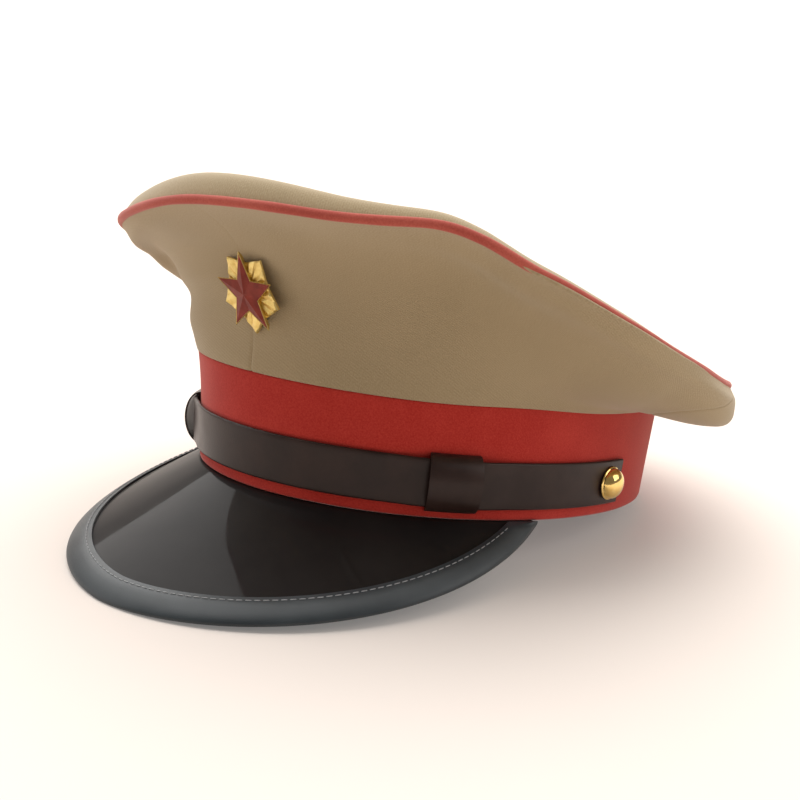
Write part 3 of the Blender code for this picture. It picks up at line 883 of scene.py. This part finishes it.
# %% [markdown]
# ## Black patent peak
#
# The peak is stiff board under a skin of black patent: a deep gloss that mirrors the room.
# The base is nearly black, and a clear coat does the mirroring. A perfect mirror looks like
# plastic fresh from the mould, so the coat is bumped by slow waves and given fine rub marks.

# %% Patent finish


def black_patent():
    coat = {"Coat_Weight": 0.2, "Coat_Roughness": 0.05, "Coat_IOR": 1.4}
    finish, tree, shader = start_finish("black_patent", 0.5, **coat)
    shader.inputs["Specular IOR Level"].default_value = 0.05
    place = on_object(tree)
    rubbed = noise(tree, place, 120, 4)
    cloud = noise(tree, place, 40, 3)
    paint(tree, shader, cloud, 0.35, 0.7, (0.011, 0.009, 0.009), (0.017, 0.0145, 0.014))
    tree.links.new(spread(tree, rubbed, 0.4, 0.8, 0.03, 0.12), shader.inputs["Coat Roughness"])
    raise_surface(tree, shader, noise(tree, place, 38, 1), 0.25, 0.0003)
    bump = shader.inputs["Normal"].links[0].from_node
    tree.links.new(bump.outputs[0], shader.inputs["Coat Normal"])
    return finish


PATENT = black_patent()
print("finish made:", PATENT.name)

# %% [markdown]
# ## The peak's form
#
# The peak springs from the band's lower edge and slopes down and out, steeper at its sides.
# Its outline is a single power curve: widest in front, nothing at its two ends. A small
# pressed crease and a shallow dent are on the real one, and they catch the light.

# %% Peak sizes
PEAK_REACH = 0.0660
PEAK_END_ANGLE = 73.8
PEAK_OUTLINE_POWER = 1.61
PEAK_FRONT_SLOPE = 31.8
PEAK_SIDE_SLOPE = 36.5
PEAK_SHEET = 0.0020
PEAK_TIP_SHARE = 0.985
BINDING_WIDTH = 0.0107
BINDING_SHEET = 0.0010
BINDING_SLACK = 0.0002
BINDING_BAND_GAP = 0.0006
BINDING_LAP = 0.4


def peak_width(share):
    """Band to rim along the slope; share runs from -1 to 1 across the peak."""
    return PEAK_REACH * (1 - np.abs(share) ** PEAK_OUTLINE_POWER)


def band_outward(angle):
    return unit(points(sine(angle) / BAND_HALF_WIDTH, -cosine(angle) / BAND_HALF_LENGTH, 0))


def peak_point(share, reach, up=0.0):
    """A point of the peak's upper face, or up above it. A reach below 0 lies under the band."""
    share, reach, up = np.broadcast_arrays(share, reach, up)
    angle = PEAK_END_ANGLE * share
    outward = band_outward(angle)
    slope = PEAK_FRONT_SLOPE + (PEAK_SIDE_SLOPE - PEAK_FRONT_SLOPE) * share * share
    slope = np.where(reach < 0, 0.0, slope)
    start = band_point(angle, 0.0)
    start[..., 2] -= CLEARANCE
    down = np.array([0, 0, -1.0])
    along = outward * cosine(slope)[..., None] + down * sine(slope)[..., None]
    over = outward * sine(slope)[..., None] - down * cosine(slope)[..., None]
    return start + along * reach[..., None] + over * up[..., None]


def binding_width(share):
    return np.minimum(BINDING_WIDTH, peak_width(share) - BINDING_BAND_GAP)


def binding_pocket(share):
    """How deep the fold of the binding is inside."""
    width = binding_width(share)
    return np.maximum(width - BINDING_SHEET, width / 3)


# %% Make the peak
PEAK_STEPS_ACROSS = 300
PEAK_STEPS_OUT = 60
PEAK_SEAT = 0.0024
PEAK_HALF_RUN = 0.125        # along the band's edge, from the middle of the peak to an end
PEAK_SHARES = PEAK_TIP_SHARE * np.linspace(-1, 1, PEAK_STEPS_ACROSS + 1)

PEAK_MARKS = (
    # share, reach, turn in degrees, half length, half width, height, all in metres
    (0.455, 0.0270, 62, 0.0085, 0.00085, 0.00034),
    (0.700, 0.0150, 40, 0.0070, 0.00060, -0.00010),
    (0.100, 0.0400, 20, 0.0200, 0.00900, -0.00012),
)


def peak_marks(share, reach):
    """The pressed crease and the shallow dents in the patent skin."""
    total = np.zeros(share.shape)
    for at_share, at_reach, turn, half_length, half_width, height in PEAK_MARKS:
        across = (share - at_share) * PEAK_HALF_RUN
        out = reach - at_reach
        along = across * cosine(turn) + out * sine(turn)
        beside = out * cosine(turn) - across * sine(turn)
        total += height * np.exp(-(along / half_length) ** 4 - (beside / half_width) ** 2)
    return total


def make_peak():
    shares = PEAK_SHARES
    edge = peak_width(shares) - binding_width(shares) + binding_pocket(shares) * BINDING_LAP
    out = np.linspace(0, 1, PEAK_STEPS_OUT + 1)
    reach = np.concatenate([np.full((len(shares), 1), -PEAK_SEAT), edge[:, None] * out[None, :]], 1)
    share = np.broadcast_to(shares[:, None], reach.shape)
    outer = peak_point(share, reach, peak_marks(share, reach))
    inner = peak_point(share, reach, -PEAK_SHEET)
    return dress("peak_patent", thin_wall("peak", outer, inner), "peak", PATENT)


make_peak()

# %% [markdown]
# ## Rim binding
#
# A strip of dark satin vinyl is folded over the rim of the peak and sewn through. It reads
# as a soft bead: puffed between the fold and the row of stitches, drawn in at the stitches.
# The stitches are real little capsules, because thread is what the eye looks for on a hem.

# %% Satin finish


def dark_satin():
    finish, tree, shader = start_finish("dark_satin_vinyl", 0.42)
    shader.inputs["Specular IOR Level"].default_value = 0.45
    place = on_object(tree)
    grain = noise(tree, place, 2200, 2)
    wear = noise(tree, place, 60, 3)
    paint(tree, shader, wear, 0.35, 0.68, (0.022, 0.029, 0.034), (0.035, 0.044, 0.050))
    tree.links.new(spread(tree, grain, 0.3, 0.7, 0.38, 0.48), shader.inputs["Roughness"])
    raise_surface(tree, shader, grain, 0.15, 0.00006)
    return finish


SATIN = dark_satin()

# %% Make the binding
BINDING_TURNS = np.concatenate([[90, 86, 80, 72], np.arange(64, -65, -8), [-72, -80, -86, -90]])
STITCH_INSET = 0.0016
STITCH_DIP = 0.00022
STITCH_DIP_SPREAD = 0.0008
BINDING_HALF = PEAK_SHEET / 2 + CLEARANCE + BINDING_SLACK + BINDING_SHEET
EDGE_ROWS = (
    # the cut edge is turned down onto the patent: how far back, outside's height, inside's height
    (0.0005, 0.0002, 0.00008),
    (0.00035, 0.0008, 0.00012),
)
EDGE_INSET = 0.0001


def binding_grid(depth_of, thinner):
    shares = PEAK_SHARES
    start = (peak_width(shares) - binding_width(shares))[:, None]
    depth = depth_of(shares)[:, None]
    turn = BINDING_TURNS[None, :]
    reach = start + depth * cosine(turn)
    dip = 0.0
    if thinner == 0:
        dip = STITCH_DIP * np.exp(-((reach - start - STITCH_INSET) / STITCH_DIP_SPREAD) ** 2)
    up = (BINDING_HALF - thinner - dip) * sine(turn) - PEAK_SHEET / 2
    return peak_point(np.broadcast_to(shares[:, None], reach.shape), reach, up)


def make_binding():
    outer = binding_grid(binding_width, 0)
    inner = binding_grid(binding_pocket, BINDING_SHEET)
    start = peak_width(PEAK_SHARES) - binding_width(PEAK_SHARES)
    for column, (back, up_out, up_in) in enumerate(EDGE_ROWS):
        outer[:, column] = peak_point(PEAK_SHARES, start - back, up_out)
        inner[:, column] = peak_point(PEAK_SHARES, start - back + EDGE_INSET, up_in)
    return dress("peak_binding_strip", thin_wall("peak_binding", outer, inner, crease=50),
                 "peak_binding", SATIN)


make_binding()

# %% [markdown]
# ## Thread
#
# One row of stitches runs round the binding, a little in from its edge. Each stitch is a
# short capsule laid along the seam. All of them are joined in one mesh, which costs little
# and keeps them a single piece.

# %% Thread finish and stitch helper


def thread_finish():
    finish, tree, shader = start_finish("binding_thread", 0.6)
    twist = noise(tree, on_object(tree), 5000, 1)
    paint(tree, shader, twist, 0.3, 0.7, (0.24, 0.25, 0.26), (0.38, 0.39, 0.40))
    return finish


THREAD = thread_finish()
STITCH_LENGTH = 0.0021
STITCH_PITCH = 0.0029
STITCH_RADIUS = 0.00019
STITCH_STAND = 0.4           # how far a stitch stands off the binding, as a share of its radius
STITCH_RUN_SHARE = 0.9       # the row stops short of the peak's two ends
STITCH_ROUTE_POINTS = 401
CAPSULE_SIDES = 6
CAPSULE_SECTION = ((-1.0, 0.25), (-0.85, 0.8), (-0.5, 1.0), (0.5, 1.0), (0.85, 0.8), (1.0, 0.25))


def stitch_row(route, up):
    """Capsules laid end to end along a route; up is the surface's direction at each point."""
    lengths = np.concatenate([[0], np.cumsum(np.linalg.norm(np.diff(route, axis=0), axis=1))])
    centres = np.arange(STITCH_PITCH, lengths[-1] - STITCH_PITCH, STITCH_PITCH)
    verts, faces = [], []
    for distance in centres:
        ends = [np.array([np.interp(distance + s, lengths, route[:, a]) for a in range(3)])
                for s in (-STITCH_LENGTH / 2, STITCH_LENGTH / 2)]
        lift = unit(np.array([np.interp(distance, lengths, up[:, a]) for a in range(3)]))
        run = unit(ends[1] - ends[0])
        side = np.cross(run, lift)
        first = len(verts)
        for along, wide in CAPSULE_SECTION:
            centre = (ends[0] + ends[1]) / 2 + (ends[1] - ends[0]) / 2 * along
            for k in range(CAPSULE_SIDES):
                turn = 360 * k / CAPSULE_SIDES
                verts.append(centre + STITCH_RADIUS * wide * (cosine(turn) * side + sine(turn) * lift))
        rings = len(CAPSULE_SECTION)
        for r in range(rings - 1):
            for k in range(CAPSULE_SIDES):
                n = (k + 1) % CAPSULE_SIDES
                a = first + r * CAPSULE_SIDES
                faces.append((a + k, a + n, a + CAPSULE_SIDES + n, a + CAPSULE_SIDES + k))
        faces.append(tuple(first + k for k in range(CAPSULE_SIDES)))
        faces.append(tuple(first + (rings - 1) * CAPSULE_SIDES + k for k in range(CAPSULE_SIDES)))
    return verts, faces


# %% Sew the binding


def sew_binding():
    shares = STITCH_RUN_SHARE * np.linspace(-1, 1, STITCH_ROUTE_POINTS)
    reach = peak_width(shares) - binding_width(shares) + STITCH_INSET
    bend = np.sqrt(np.maximum(0, 1 - (STITCH_INSET / binding_width(shares)) ** 2))
    up = (BINDING_HALF - STITCH_DIP) * bend - PEAK_SHEET / 2 + STITCH_RADIUS * STITCH_STAND
    route = peak_point(shares, reach, up)
    lift = peak_point(shares, reach, up + 0.001) - route
    verts, faces = stitch_row(route, lift)
    return dress("binding_stitches", clean_mesh("binding_stitches", verts, faces), None,
                 THREAD)


sew_binding()

# %% [markdown]
# ## Strap leather
#
# The chin strap is thin, smooth, dark brown-black leather with a soft sheen. On the real strap
# the cut edges are burnished, darker and browner than its face, but this finish colours edge
# and face alike. Leather's grain is a field of tiny cells, which the Voronoi texture draws
# well, and a broad, low gloss over it gives the sheen.

# %% Leather finish


def strap_leather():
    finish, tree, shader = start_finish("dark_strap_leather", 0.4)
    shader.inputs["Specular IOR Level"].default_value = 0.24
    place = on_object(tree)
    cells = tree.nodes.new("ShaderNodeTexVoronoi")
    cells.inputs["Scale"].default_value = 1400
    tree.links.new(place, cells.inputs["Vector"])
    rub = noise(tree, place, 70, 4)
    paint(tree, shader, rub, 0.35, 0.7, (0.022, 0.011, 0.009), (0.038, 0.021, 0.017))
    tree.links.new(spread(tree, rub, 0.3, 0.75, 0.30, 0.42), shader.inputs["Roughness"])
    raise_surface(tree, shader, cells.outputs[0], 0.2, 0.00006)
    return finish


LEATHER = strap_leather()
print("finish made:", LEATHER.name)

# %% [markdown]
# ## Chin strap
#
# The strap lies along the band from button to button and rises a little where each loop
# passes behind it. It is drawn as a thick sheet with the same half-round edges as the cloth.

# %% Make the chin strap
STRAP_WIDTH = 0.0175
STRAP_THICKNESS = 0.0015
STRAP_LOWER_EDGE = 0.0045
STRAP_PAST_BUTTON = 0.0085
BUTTON_ANGLE = 93
KEEPER_LEFT_ANGLE = 52
KEEPER_RIGHT_ANGLE = -43
KEEPER_WIDTH = 0.0195
KEEPER_SHEET = 0.0010
KEEPER_OVERHANG = 0.0018
KEEPER_DEPTH = 0.0068
KEEPER_RAMP = 0.016
STRAP_STEPS = 300
STRAP_STEPS_UP = 10


def strap_lift(angle):
    """How far the strap stands off the band to let a loop pass behind it."""
    keeper = np.where(angle > 0, KEEPER_LEFT_ANGLE, KEEPER_RIGHT_ANGLE)
    arc = BAND_HALF_LENGTH * np.radians(np.abs(angle - keeper))
    t = np.clip((arc - KEEPER_WIDTH / 2) / KEEPER_RAMP, 0, 1)
    return (KEEPER_SHEET + CLEARANCE) * (1 - t * t * (3 - 2 * t))


def make_strap():
    end = BUTTON_ANGLE + math.degrees(STRAP_PAST_BUTTON / BAND_HALF_LENGTH)
    angles = np.linspace(-end, end, STRAP_STEPS + 1)
    edge = STRAP_THICKNESS / 2
    heights = np.linspace(STRAP_LOWER_EDGE + edge, STRAP_LOWER_EDGE + STRAP_WIDTH - edge, STRAP_STEPS_UP + 1)
    angle, height = np.meshgrid(angles, heights, indexing="ij")
    outer = band_point(angle, height, CLEARANCE + STRAP_THICKNESS + strap_lift(angle))
    mesh = cloth_sheet("chin_strap", outer, STRAP_THICKNESS)
    return dress("chin_strap_leather", mesh, "chin_strap", LEATHER)


make_strap()

# %% [markdown]
# ## Strap loops
#
# Two loops of the same leather ride on the strap. Each is flat behind it and bows out in
# front, so from the side it is a narrow ring with light showing through.

# %% Make the loops
LOOP_STEPS_ACROSS = 16
LOOP_TURNS = np.linspace(-90, 90, 33)
LOOP_EDGE_INSET = 0.12       # share of the leather's thickness that is worn off its two edges
LOOP_EDGE_POWER = 10


def make_loop(name, angle):
    middle = STRAP_LOWER_EDGE + STRAP_WIDTH / 2
    half = STRAP_WIDTH / 2 + KEEPER_OVERHANG
    half_angle = math.degrees(KEEPER_WIDTH / 2 / BAND_HALF_LENGTH)
    across = np.linspace(-1, 1, LOOP_STEPS_ACROSS + 1)
    stations = angle + half_angle * across

    def ring(thinner):
        depth = KEEPER_DEPTH - 2 * thinner
        out = CLEARANCE + thinner + depth * cosine(LOOP_TURNS)
        height = middle + (half - thinner) * sine(LOOP_TURNS)
        return out, height

    inset = LOOP_EDGE_INSET * np.abs(across) ** LOOP_EDGE_POWER * KEEPER_SHEET
    out_outer, height_outer = ring(0)
    out_inner, height_inner = ring(KEEPER_SHEET)
    outer = np.stack([band_point(s, height_outer, out_outer - i) for s, i in zip(stations, inset)], 1)
    inner = np.stack([band_point(s, height_inner, out_inner + i) for s, i in zip(stations, inset)], 1)
    return dress(name + "_leather", thin_wall(name, outer, inner, True, 50), name,
                 LEATHER)


make_loop("strap_keeper_left", KEEPER_LEFT_ANGLE)
make_loop("strap_keeper_right", KEEPER_RIGHT_ANGLE)

# %% [markdown]
# ## Gold
#
# The side buttons are polished gilt brass, the rays of the badge a duller stamped gilt.
# Both are metals, so their colour tints what they mirror, and only roughness parts them.

# %% Gold finishes


def gilt(name, pale, deep, smooth, rough):
    finish, tree, shader = start_finish(name, rough, Metallic=1.0)
    place = on_object(tree)
    tarnish = noise(tree, place, 420, 3)
    paint(tree, shader, tarnish, 0.35, 0.7, pale, deep)
    tree.links.new(spread(tree, tarnish, 0.3, 0.7, smooth, rough), shader.inputs["Roughness"])
    raise_surface(tree, shader, noise(tree, place, 1500, 2), 0.05, 0.0001)
    return finish


BUTTON_GOLD = gilt("polished_gold", (0.93, 0.68, 0.26), (0.86, 0.57, 0.17), 0.08, 0.16)
RAY_GILT = gilt("gilt_rays", (0.80, 0.62, 0.24), (0.66, 0.47, 0.14), 0.38, 0.5)
print("finishes made:", BUTTON_GOLD.name, RAY_GILT.name)

# %% [markdown]
# ## Side buttons
#
# A side button is a small pressed dome with a rolled rim, on a post through the strap and
# the band. A body turned about its own axis is all it takes: a table of radius and height,
# swept round.

# %% Make the buttons
BUTTON_DIAMETER = 0.0128
BUTTON_DOME = 0.0050
BUTTON_RIM = 0.0008
POST_DIAMETER = 0.0030
BUTTON_STEPS = 64
DOME_STEPS = 14
DOME_SHARE = 0.93            # the dome's radius and the rim's middle, as shares of the button's
RIM_SHARE = 0.955
DOME_POWER = 0.9
DOME_END_ANGLE = 89
BUTTON_RIM_TURNS = (80, 50, 20, -20, -50, -80)


def button_section():
    """Radius and height down the button, from the top of its dome to the end of its post."""
    radius = BUTTON_DIAMETER / 2
    seat = 2 * CLEARANCE + STRAP_THICKNESS
    rise = BUTTON_DOME - BUTTON_RIM
    dome = [(radius * DOME_SHARE * sine(a), seat + BUTTON_RIM + rise * cosine(a) ** DOME_POWER)
            for a in np.linspace(0, DOME_END_ANGLE, DOME_STEPS)]
    rim_middle = seat + BUTTON_RIM / 2
    rim = [(radius * RIM_SHARE + BUTTON_RIM / 2 * cosine(a), rim_middle + BUTTON_RIM / 2 * sine(a))
           for a in BUTTON_RIM_TURNS]
    post = POST_DIAMETER / 2
    return dome + rim + [(post, seat), (post, -BAND_WALL), (0.0, -BAND_WALL)]


def turned(name, section, steps, crease=45):
    """A mesh turned about its own Z axis from a section, top to bottom."""
    verts, faces, rings = [], [], []
    for radius, height in section:
        if radius < 1e-6:
            rings.append([len(verts)] * steps)
            verts.append((0, 0, height))
            continue
        rings.append(list(range(len(verts), len(verts) + steps)))
        around = [360 * k / steps for k in range(steps)]
        verts += [(radius * cosine(a), radius * sine(a), height) for a in around]
    for upper, lower in zip(rings, rings[1:]):
        for k in range(steps):
            n = (k + 1) % steps
            corners = dict.fromkeys([upper[k], lower[k], lower[n], upper[n]])
            if len(corners) > 2:
                faces.append(tuple(corners))
    return clean_mesh(name, verts, faces, crease)


def place_on_band(angle, height):
    """Where a piece stands on the band's outside, with its Z axis pointing straight out."""
    outward = Vector(band_outward(angle))
    turn = outward.to_track_quat("Z", "Y").to_matrix().to_4x4()
    return Matrix.Translation(Vector(band_point(angle, height))) @ turn


for side, hand in ((1, "left"), (-1, "right")):
    mesh = turned("button", button_section(), BUTTON_STEPS)
    mesh.transform(place_on_band(side * BUTTON_ANGLE, STRAP_LOWER_EDGE + STRAP_WIDTH / 2))
    dress(f"button_{hand}_dome", mesh, f"button_{hand}", BUTTON_GOLD)

# %% [markdown]
# ## Badge
#
# The badge is two layers: a plate of stamped rays with five blunt corners, and a ridged
# five-point star in red enamel with a thin gilt edge. It is pinned to the front of the
# crown and leans with it. Its place comes from the CAD node, so the two cannot drift apart.

# %% Badge place
BADGE_LEAN = 20
BADGE_TURN = -1.6
RAY_RADIUS = 0.0150
RAY_VALLEY_RADIUS = 0.0107
RAY_PLATE = 0.0008
RAY_RIDGE = 0.0005
STAR_RADIUS = 0.0153
STAR_VALLEY_RADIUS = 0.0062
STAR_EDGE = 0.0007
STAR_RIDGE = 0.0018


def badge_place():
    """The badge's own axes: Z out of the cap, Y up, origin in the middle of its back."""
    lean = Matrix.Rotation(math.radians(90 + BADGE_LEAN), 4, "X")
    turn = Matrix.Rotation(math.radians(-BADGE_TURN), 4, "Z")
    axes = lean @ turn
    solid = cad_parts["badge_star"].data.vertices
    corners = np.array([CAP_PLACE.inverted() @ v.co for v in solid])
    local = corners @ np.array(axes.to_3x3())
    middle = (local.min(0) + local.max(0)) / 2
    up_shift = STAR_RADIUS * (1 - math.cos(math.radians(36))) / 2
    back = local[:, 2].min() - RAY_PLATE - RAY_RIDGE - CLEARANCE
    origin = Vector((middle[0], middle[1] - up_shift, back))
    return Matrix.Translation(axes.to_3x3() @ origin) @ axes


BADGE_PLACE = badge_place()
print("badge origin", [round(v, 4) for v in BADGE_PLACE.translation])

# %% [markdown]
# ## Rays
#
# Each of the five groups of rays fills the space between two arms of the star. Stamped rays
# are sharp little roofs, so the plate's rim goes up and down from ray to ray, and every roof
# runs in to the middle.

# %% Make the rays
RAY_FOLDS = 8
RAY_RINGS = (0.3, 0.65, 0.95, 1.0)
RAY_RIM_ROOF = 0.4           # the roofs and the plate are worn thinner at the rim, to these shares
RAY_RIM_PLATE = 0.8
RAY_CREASE = 12


def star_radius(angle, point, valley):
    """Distance to the outline of a five-pointed star along a direction; 0 is a point."""
    off = abs((angle + 36) % 72 - 36)
    tip = (point, 0.0)
    dip = (valley * cosine(36), valley * sine(36))
    edge = (dip[0] - tip[0], dip[1] - tip[1])
    return (tip[0] * edge[1] - tip[1] * edge[0]) / (cosine(off) * edge[1] - sine(off) * edge[0])


def make_rays():
    count = 5 * RAY_FOLDS
    verts = [(0, 0, RAY_PLATE)]
    faces = []
    for ring in RAY_RINGS:
        for k in range(count):
            angle = 360 * k / count
            radius = ring * star_radius(angle + 36, RAY_RADIUS, RAY_VALLEY_RADIUS)
            roof = RAY_RIDGE * (k % 2 == 0) * (1 if ring < 1 else RAY_RIM_ROOF)
            height = RAY_PLATE * (1 if ring < 1 else RAY_RIM_PLATE) + roof
            verts.append((-radius * sine(angle), radius * cosine(angle), height))
    low = len(verts)
    for k in range(count):
        angle = 360 * k / count
        radius = star_radius(angle + 36, RAY_RADIUS, RAY_VALLEY_RADIUS)
        verts.append((-radius * sine(angle), radius * cosine(angle), 0))
    back = len(verts)
    verts.append((0, 0, 0))
    for k in range(count):
        n = (k + 1) % count
        faces.append((0, 1 + k, 1 + n))
        for r in range(len(RAY_RINGS) - 1):
            a = 1 + r * count
            faces.append((a + k, a + count + k, a + count + n, a + n))
        a = 1 + (len(RAY_RINGS) - 1) * count
        faces.append((a + k, low + k, low + n, a + n))
        faces.append((low + k, back, low + n))
    mesh = clean_mesh("badge_rays", verts, faces, RAY_CREASE)
    mesh.transform(BADGE_PLACE)
    return dress("badge_ray_plate", mesh, "badge_rays", RAY_GILT)


make_rays()

# %% [markdown]
# ## Star
#
# The star is a gilt tray filled with glassy red enamel. Its arms are roof-shaped, with a
# ridge from the middle out to each point. The tray's thin lip is what shows as a gold line.
# The middle is left plain.

# %% Enamel finish


def red_enamel():
    finish, tree, shader = start_finish("red_enamel", 0.4)
    shader.inputs["Specular IOR Level"].default_value = 0.12
    place = on_object(tree)
    depth = noise(tree, place, 260, 3)
    paint(tree, shader, depth, 0.35, 0.7, (0.17, 0.022, 0.013), (0.25, 0.036, 0.022))
    raise_surface(tree, shader, noise(tree, place, 700, 2), 0.10, 0.0001)
    return finish


ENAMEL = red_enamel()

# %% Make the star
LIP = 0.00038
LIP_STAND = 0.0001
LIP_RINGS = (
    # the tray's lip from inside to outside: share of its width inwards, drop below its top
    (1.0, 0.00015),
    (0.45, 0.0),
    (0.0, 0.0002),
)
ENAMEL_BED = 0.0001
DIP_INSET_SHARE = 0.8
STAR_CREASE = 5
TRAY_UNDERCUT = 0.0007
TIP_HALF_ANGLE = 23          # half the angle between the two edges of an arm's point


def star_outline(inset, height):
    """Ten corners of the star, drawn in by an inset."""
    corners = []
    tip = STAR_RADIUS - inset / math.sin(math.radians(TIP_HALF_ANGLE))
    dip = STAR_VALLEY_RADIUS - inset * DIP_INSET_SHARE
    for k in range(10):
        radius = tip if k % 2 == 0 else dip
        corners.append((-radius * sine(36 * k), radius * cosine(36 * k), height))
    return corners


def star_solid(name, rings, peak_height, base_height):
    """A closed star from rings of ten corners, with a ridged top and a flat back."""
    verts = [corner for ring in rings for corner in ring]
    top = len(verts)
    verts += [(0, 0, peak_height), (0, 0, base_height)]
    faces = []
    for k in range(10):
        n = (k + 1) % 10
        for r in range(len(rings) - 1):
            a, b = 10 * r, 10 * (r + 1)
            faces.append((a + k, b + k, b + n, a + n))
        last = 10 * (len(rings) - 1)
        faces += [(top, k, n), (top + 1, last + n, last + k)]
    return clean_mesh(name, verts, faces, STAR_CREASE)


def make_star():
    seat = RAY_PLATE + RAY_RIDGE + CLEARANCE
    lip_top = seat + STAR_EDGE + LIP_STAND
    rings = [star_outline(LIP * share, lip_top - drop) for share, drop in LIP_RINGS]
    rings.append(star_outline(TRAY_UNDERCUT, RAY_PLATE))
    tray = star_solid("badge_star_tray", rings, seat + STAR_EDGE, RAY_PLATE)
    tray.transform(BADGE_PLACE)
    dress("badge_star_tray", tray, None, RAY_GILT)
    bed = seat + ENAMEL_BED
    rings = [star_outline(LIP, seat + STAR_EDGE), star_outline(LIP, bed)]
    enamel = star_solid("badge_star", rings, seat + STAR_RIDGE, bed)
    enamel.transform(BADGE_PLACE)
    return dress("badge_star_enamel", enamel, "badge_star", ENAMEL)


make_star()

# %% [markdown]
# ## Floor and backdrop
#
# The cap stands on a pale sheet that sweeps up behind it, as a photographer's paper does, so
# the camera sees no horizon. The sheet is a little warm. Where the light is full it goes to plain
# white, and where the cap keeps the light off it, the shadow takes a brown cast.

# %% Make the sweep
VIEW_AZIMUTH = 43.05
SWEEP_HALF_WIDTH = 5.0
SWEEP_FRONT = 4.0
SWEEP_BACK = 1.6
SWEEP_BEND = 1.6
SWEEP_TOP = 1.0


def make_sweep():
    turn = math.radians(VIEW_AZIMUTH)
    away = Vector((-math.sin(turn), math.cos(turn), 0))
    across = Vector((math.cos(turn), math.sin(turn), 0))
    profile = [(-SWEEP_FRONT, 0.0), (SWEEP_BACK, 0.0)]
    profile += [(SWEEP_BACK + SWEEP_BEND * sine(a), SWEEP_BEND * (1 - cosine(a))) for a in range(5, 91, 5)]
    profile.append((SWEEP_BACK + SWEEP_BEND, SWEEP_BEND + SWEEP_TOP))
    verts = [away * reach + across * side + Vector((0, 0, up))
             for reach, up in profile for side in (-SWEEP_HALF_WIDTH, SWEEP_HALF_WIDTH)]
    faces = [(2 * k, 2 * k + 1, 2 * k + 3, 2 * k + 2) for k in range(len(profile) - 1)]
    mesh = bpy.data.meshes.new("paper_sweep")
    mesh.from_pydata([tuple(v) for v in verts], [], faces)
    mesh.shade_smooth()
    finish, tree, shader = start_finish("pale_paper", 0.95)
    shader.inputs["Base Color"].default_value = (0.64, 0.57, 0.52, 1)
    shader.inputs["Specular IOR Level"].default_value = 0.0
    shader.inputs["Emission Color"].default_value = (1.0, 0.98, 0.96, 1)
    shader.inputs["Emission Strength"].default_value = 0.17
    mesh.materials.append(finish)
    sweep = bpy.data.objects.new("paper_sweep", mesh)
    bpy.context.scene.collection.objects.link(sweep)
    return sweep


make_sweep()

# %% [markdown]
# ## Light
#
# A broad soft panel hangs over the cap, a little behind it and to the left. The crown's top
# is then bright, the near side is in gentle shade, and the patent peak has something large
# and smooth to mirror. The edge of the crown's reflection is what draws the sharp line on
# the peak. A dim warm world fills the shade. Two cards stand low at the sides: the left one
# lifts the crown's edge, and the right one is what the gold button mirrors.

# %% World and lamps


def make_world(colour, strength):
    world = bpy.data.worlds.new("pale_room")
    world.use_nodes = True
    background = world.node_tree.nodes["Background"]
    background.inputs["Color"].default_value = (*colour, 1)
    background.inputs["Strength"].default_value = strength
    bpy.context.scene.world = world


def add_lamp(name, place, aim, size, power, colour=(1, 1, 1)):
    """A rectangular soft light that faces a point."""
    light = bpy.data.lights.new(name, "AREA")
    light.shape = "RECTANGLE"
    light.size, light.size_y = size
    light.energy = power
    light.color = colour
    lamp = bpy.data.objects.new(name, light)
    bpy.context.scene.collection.objects.link(lamp)
    lamp.location = place
    lamp.rotation_euler = (Vector(aim) - Vector(place)).to_track_quat("-Z", "Y").to_euler()
    return lamp


CAP_MIDDLE = (0, 0, 0.06)
make_world((1.0, 0.94, 0.89), 0.22)
add_lamp("sky_panel", (-0.85, 0.7, 2.3), CAP_MIDDLE, (4.2, 4.2), 190, (1.0, 0.99, 0.97))
add_lamp("left_card", (-1.3, -1.1, 0.7), CAP_MIDDLE, (1.2, 1.2), 6, (1.0, 0.98, 0.96))
add_lamp("right_card", (1.4, 0.7, 0.9), CAP_MIDDLE, (1.2, 1.2), 9, (1.0, 0.98, 0.96))

# %% [markdown]
# ## Camera
#
# The camera stands where the photographer stood: half a metre from the cap, to the wearer's
# left of the front, a little above it, and turned by two degrees.

# %% Set the camera
VIEW_ELEVATION = 13.88
VIEW_ROLL = 1.9
VIEW_DISTANCE = 0.5
VIEW_LENS = 52.4
AIM_FROM_BAND = Vector((-0.0140, -0.0039, 0.0272))


def set_camera():
    data = bpy.data.cameras.new("camera")
    data.lens = VIEW_LENS
    data.sensor_width = 36
    camera = bpy.data.objects.new("camera", data)
    bpy.context.scene.collection.objects.link(camera)
    azimuth, elevation = math.radians(VIEW_AZIMUTH), math.radians(VIEW_ELEVATION)
    back = Vector((math.sin(azimuth) * math.cos(elevation), -math.cos(azimuth) * math.cos(elevation),
                   math.sin(elevation)))
    aim = CAP_PLACE.translation + AIM_FROM_BAND
    look = (-back).to_track_quat("-Z", "Y").to_matrix().to_4x4()
    roll = Matrix.Rotation(math.radians(VIEW_ROLL), 4, "Z")
    camera.matrix_world = Matrix.Translation(aim + back * VIEW_DISTANCE) @ look @ roll
    bpy.context.scene.camera = camera
    return camera


camera = set_camera()
bpy.context.scene.view_settings.view_transform = "Standard"
print("camera at", [round(v, 3) for v in camera.matrix_world.translation])
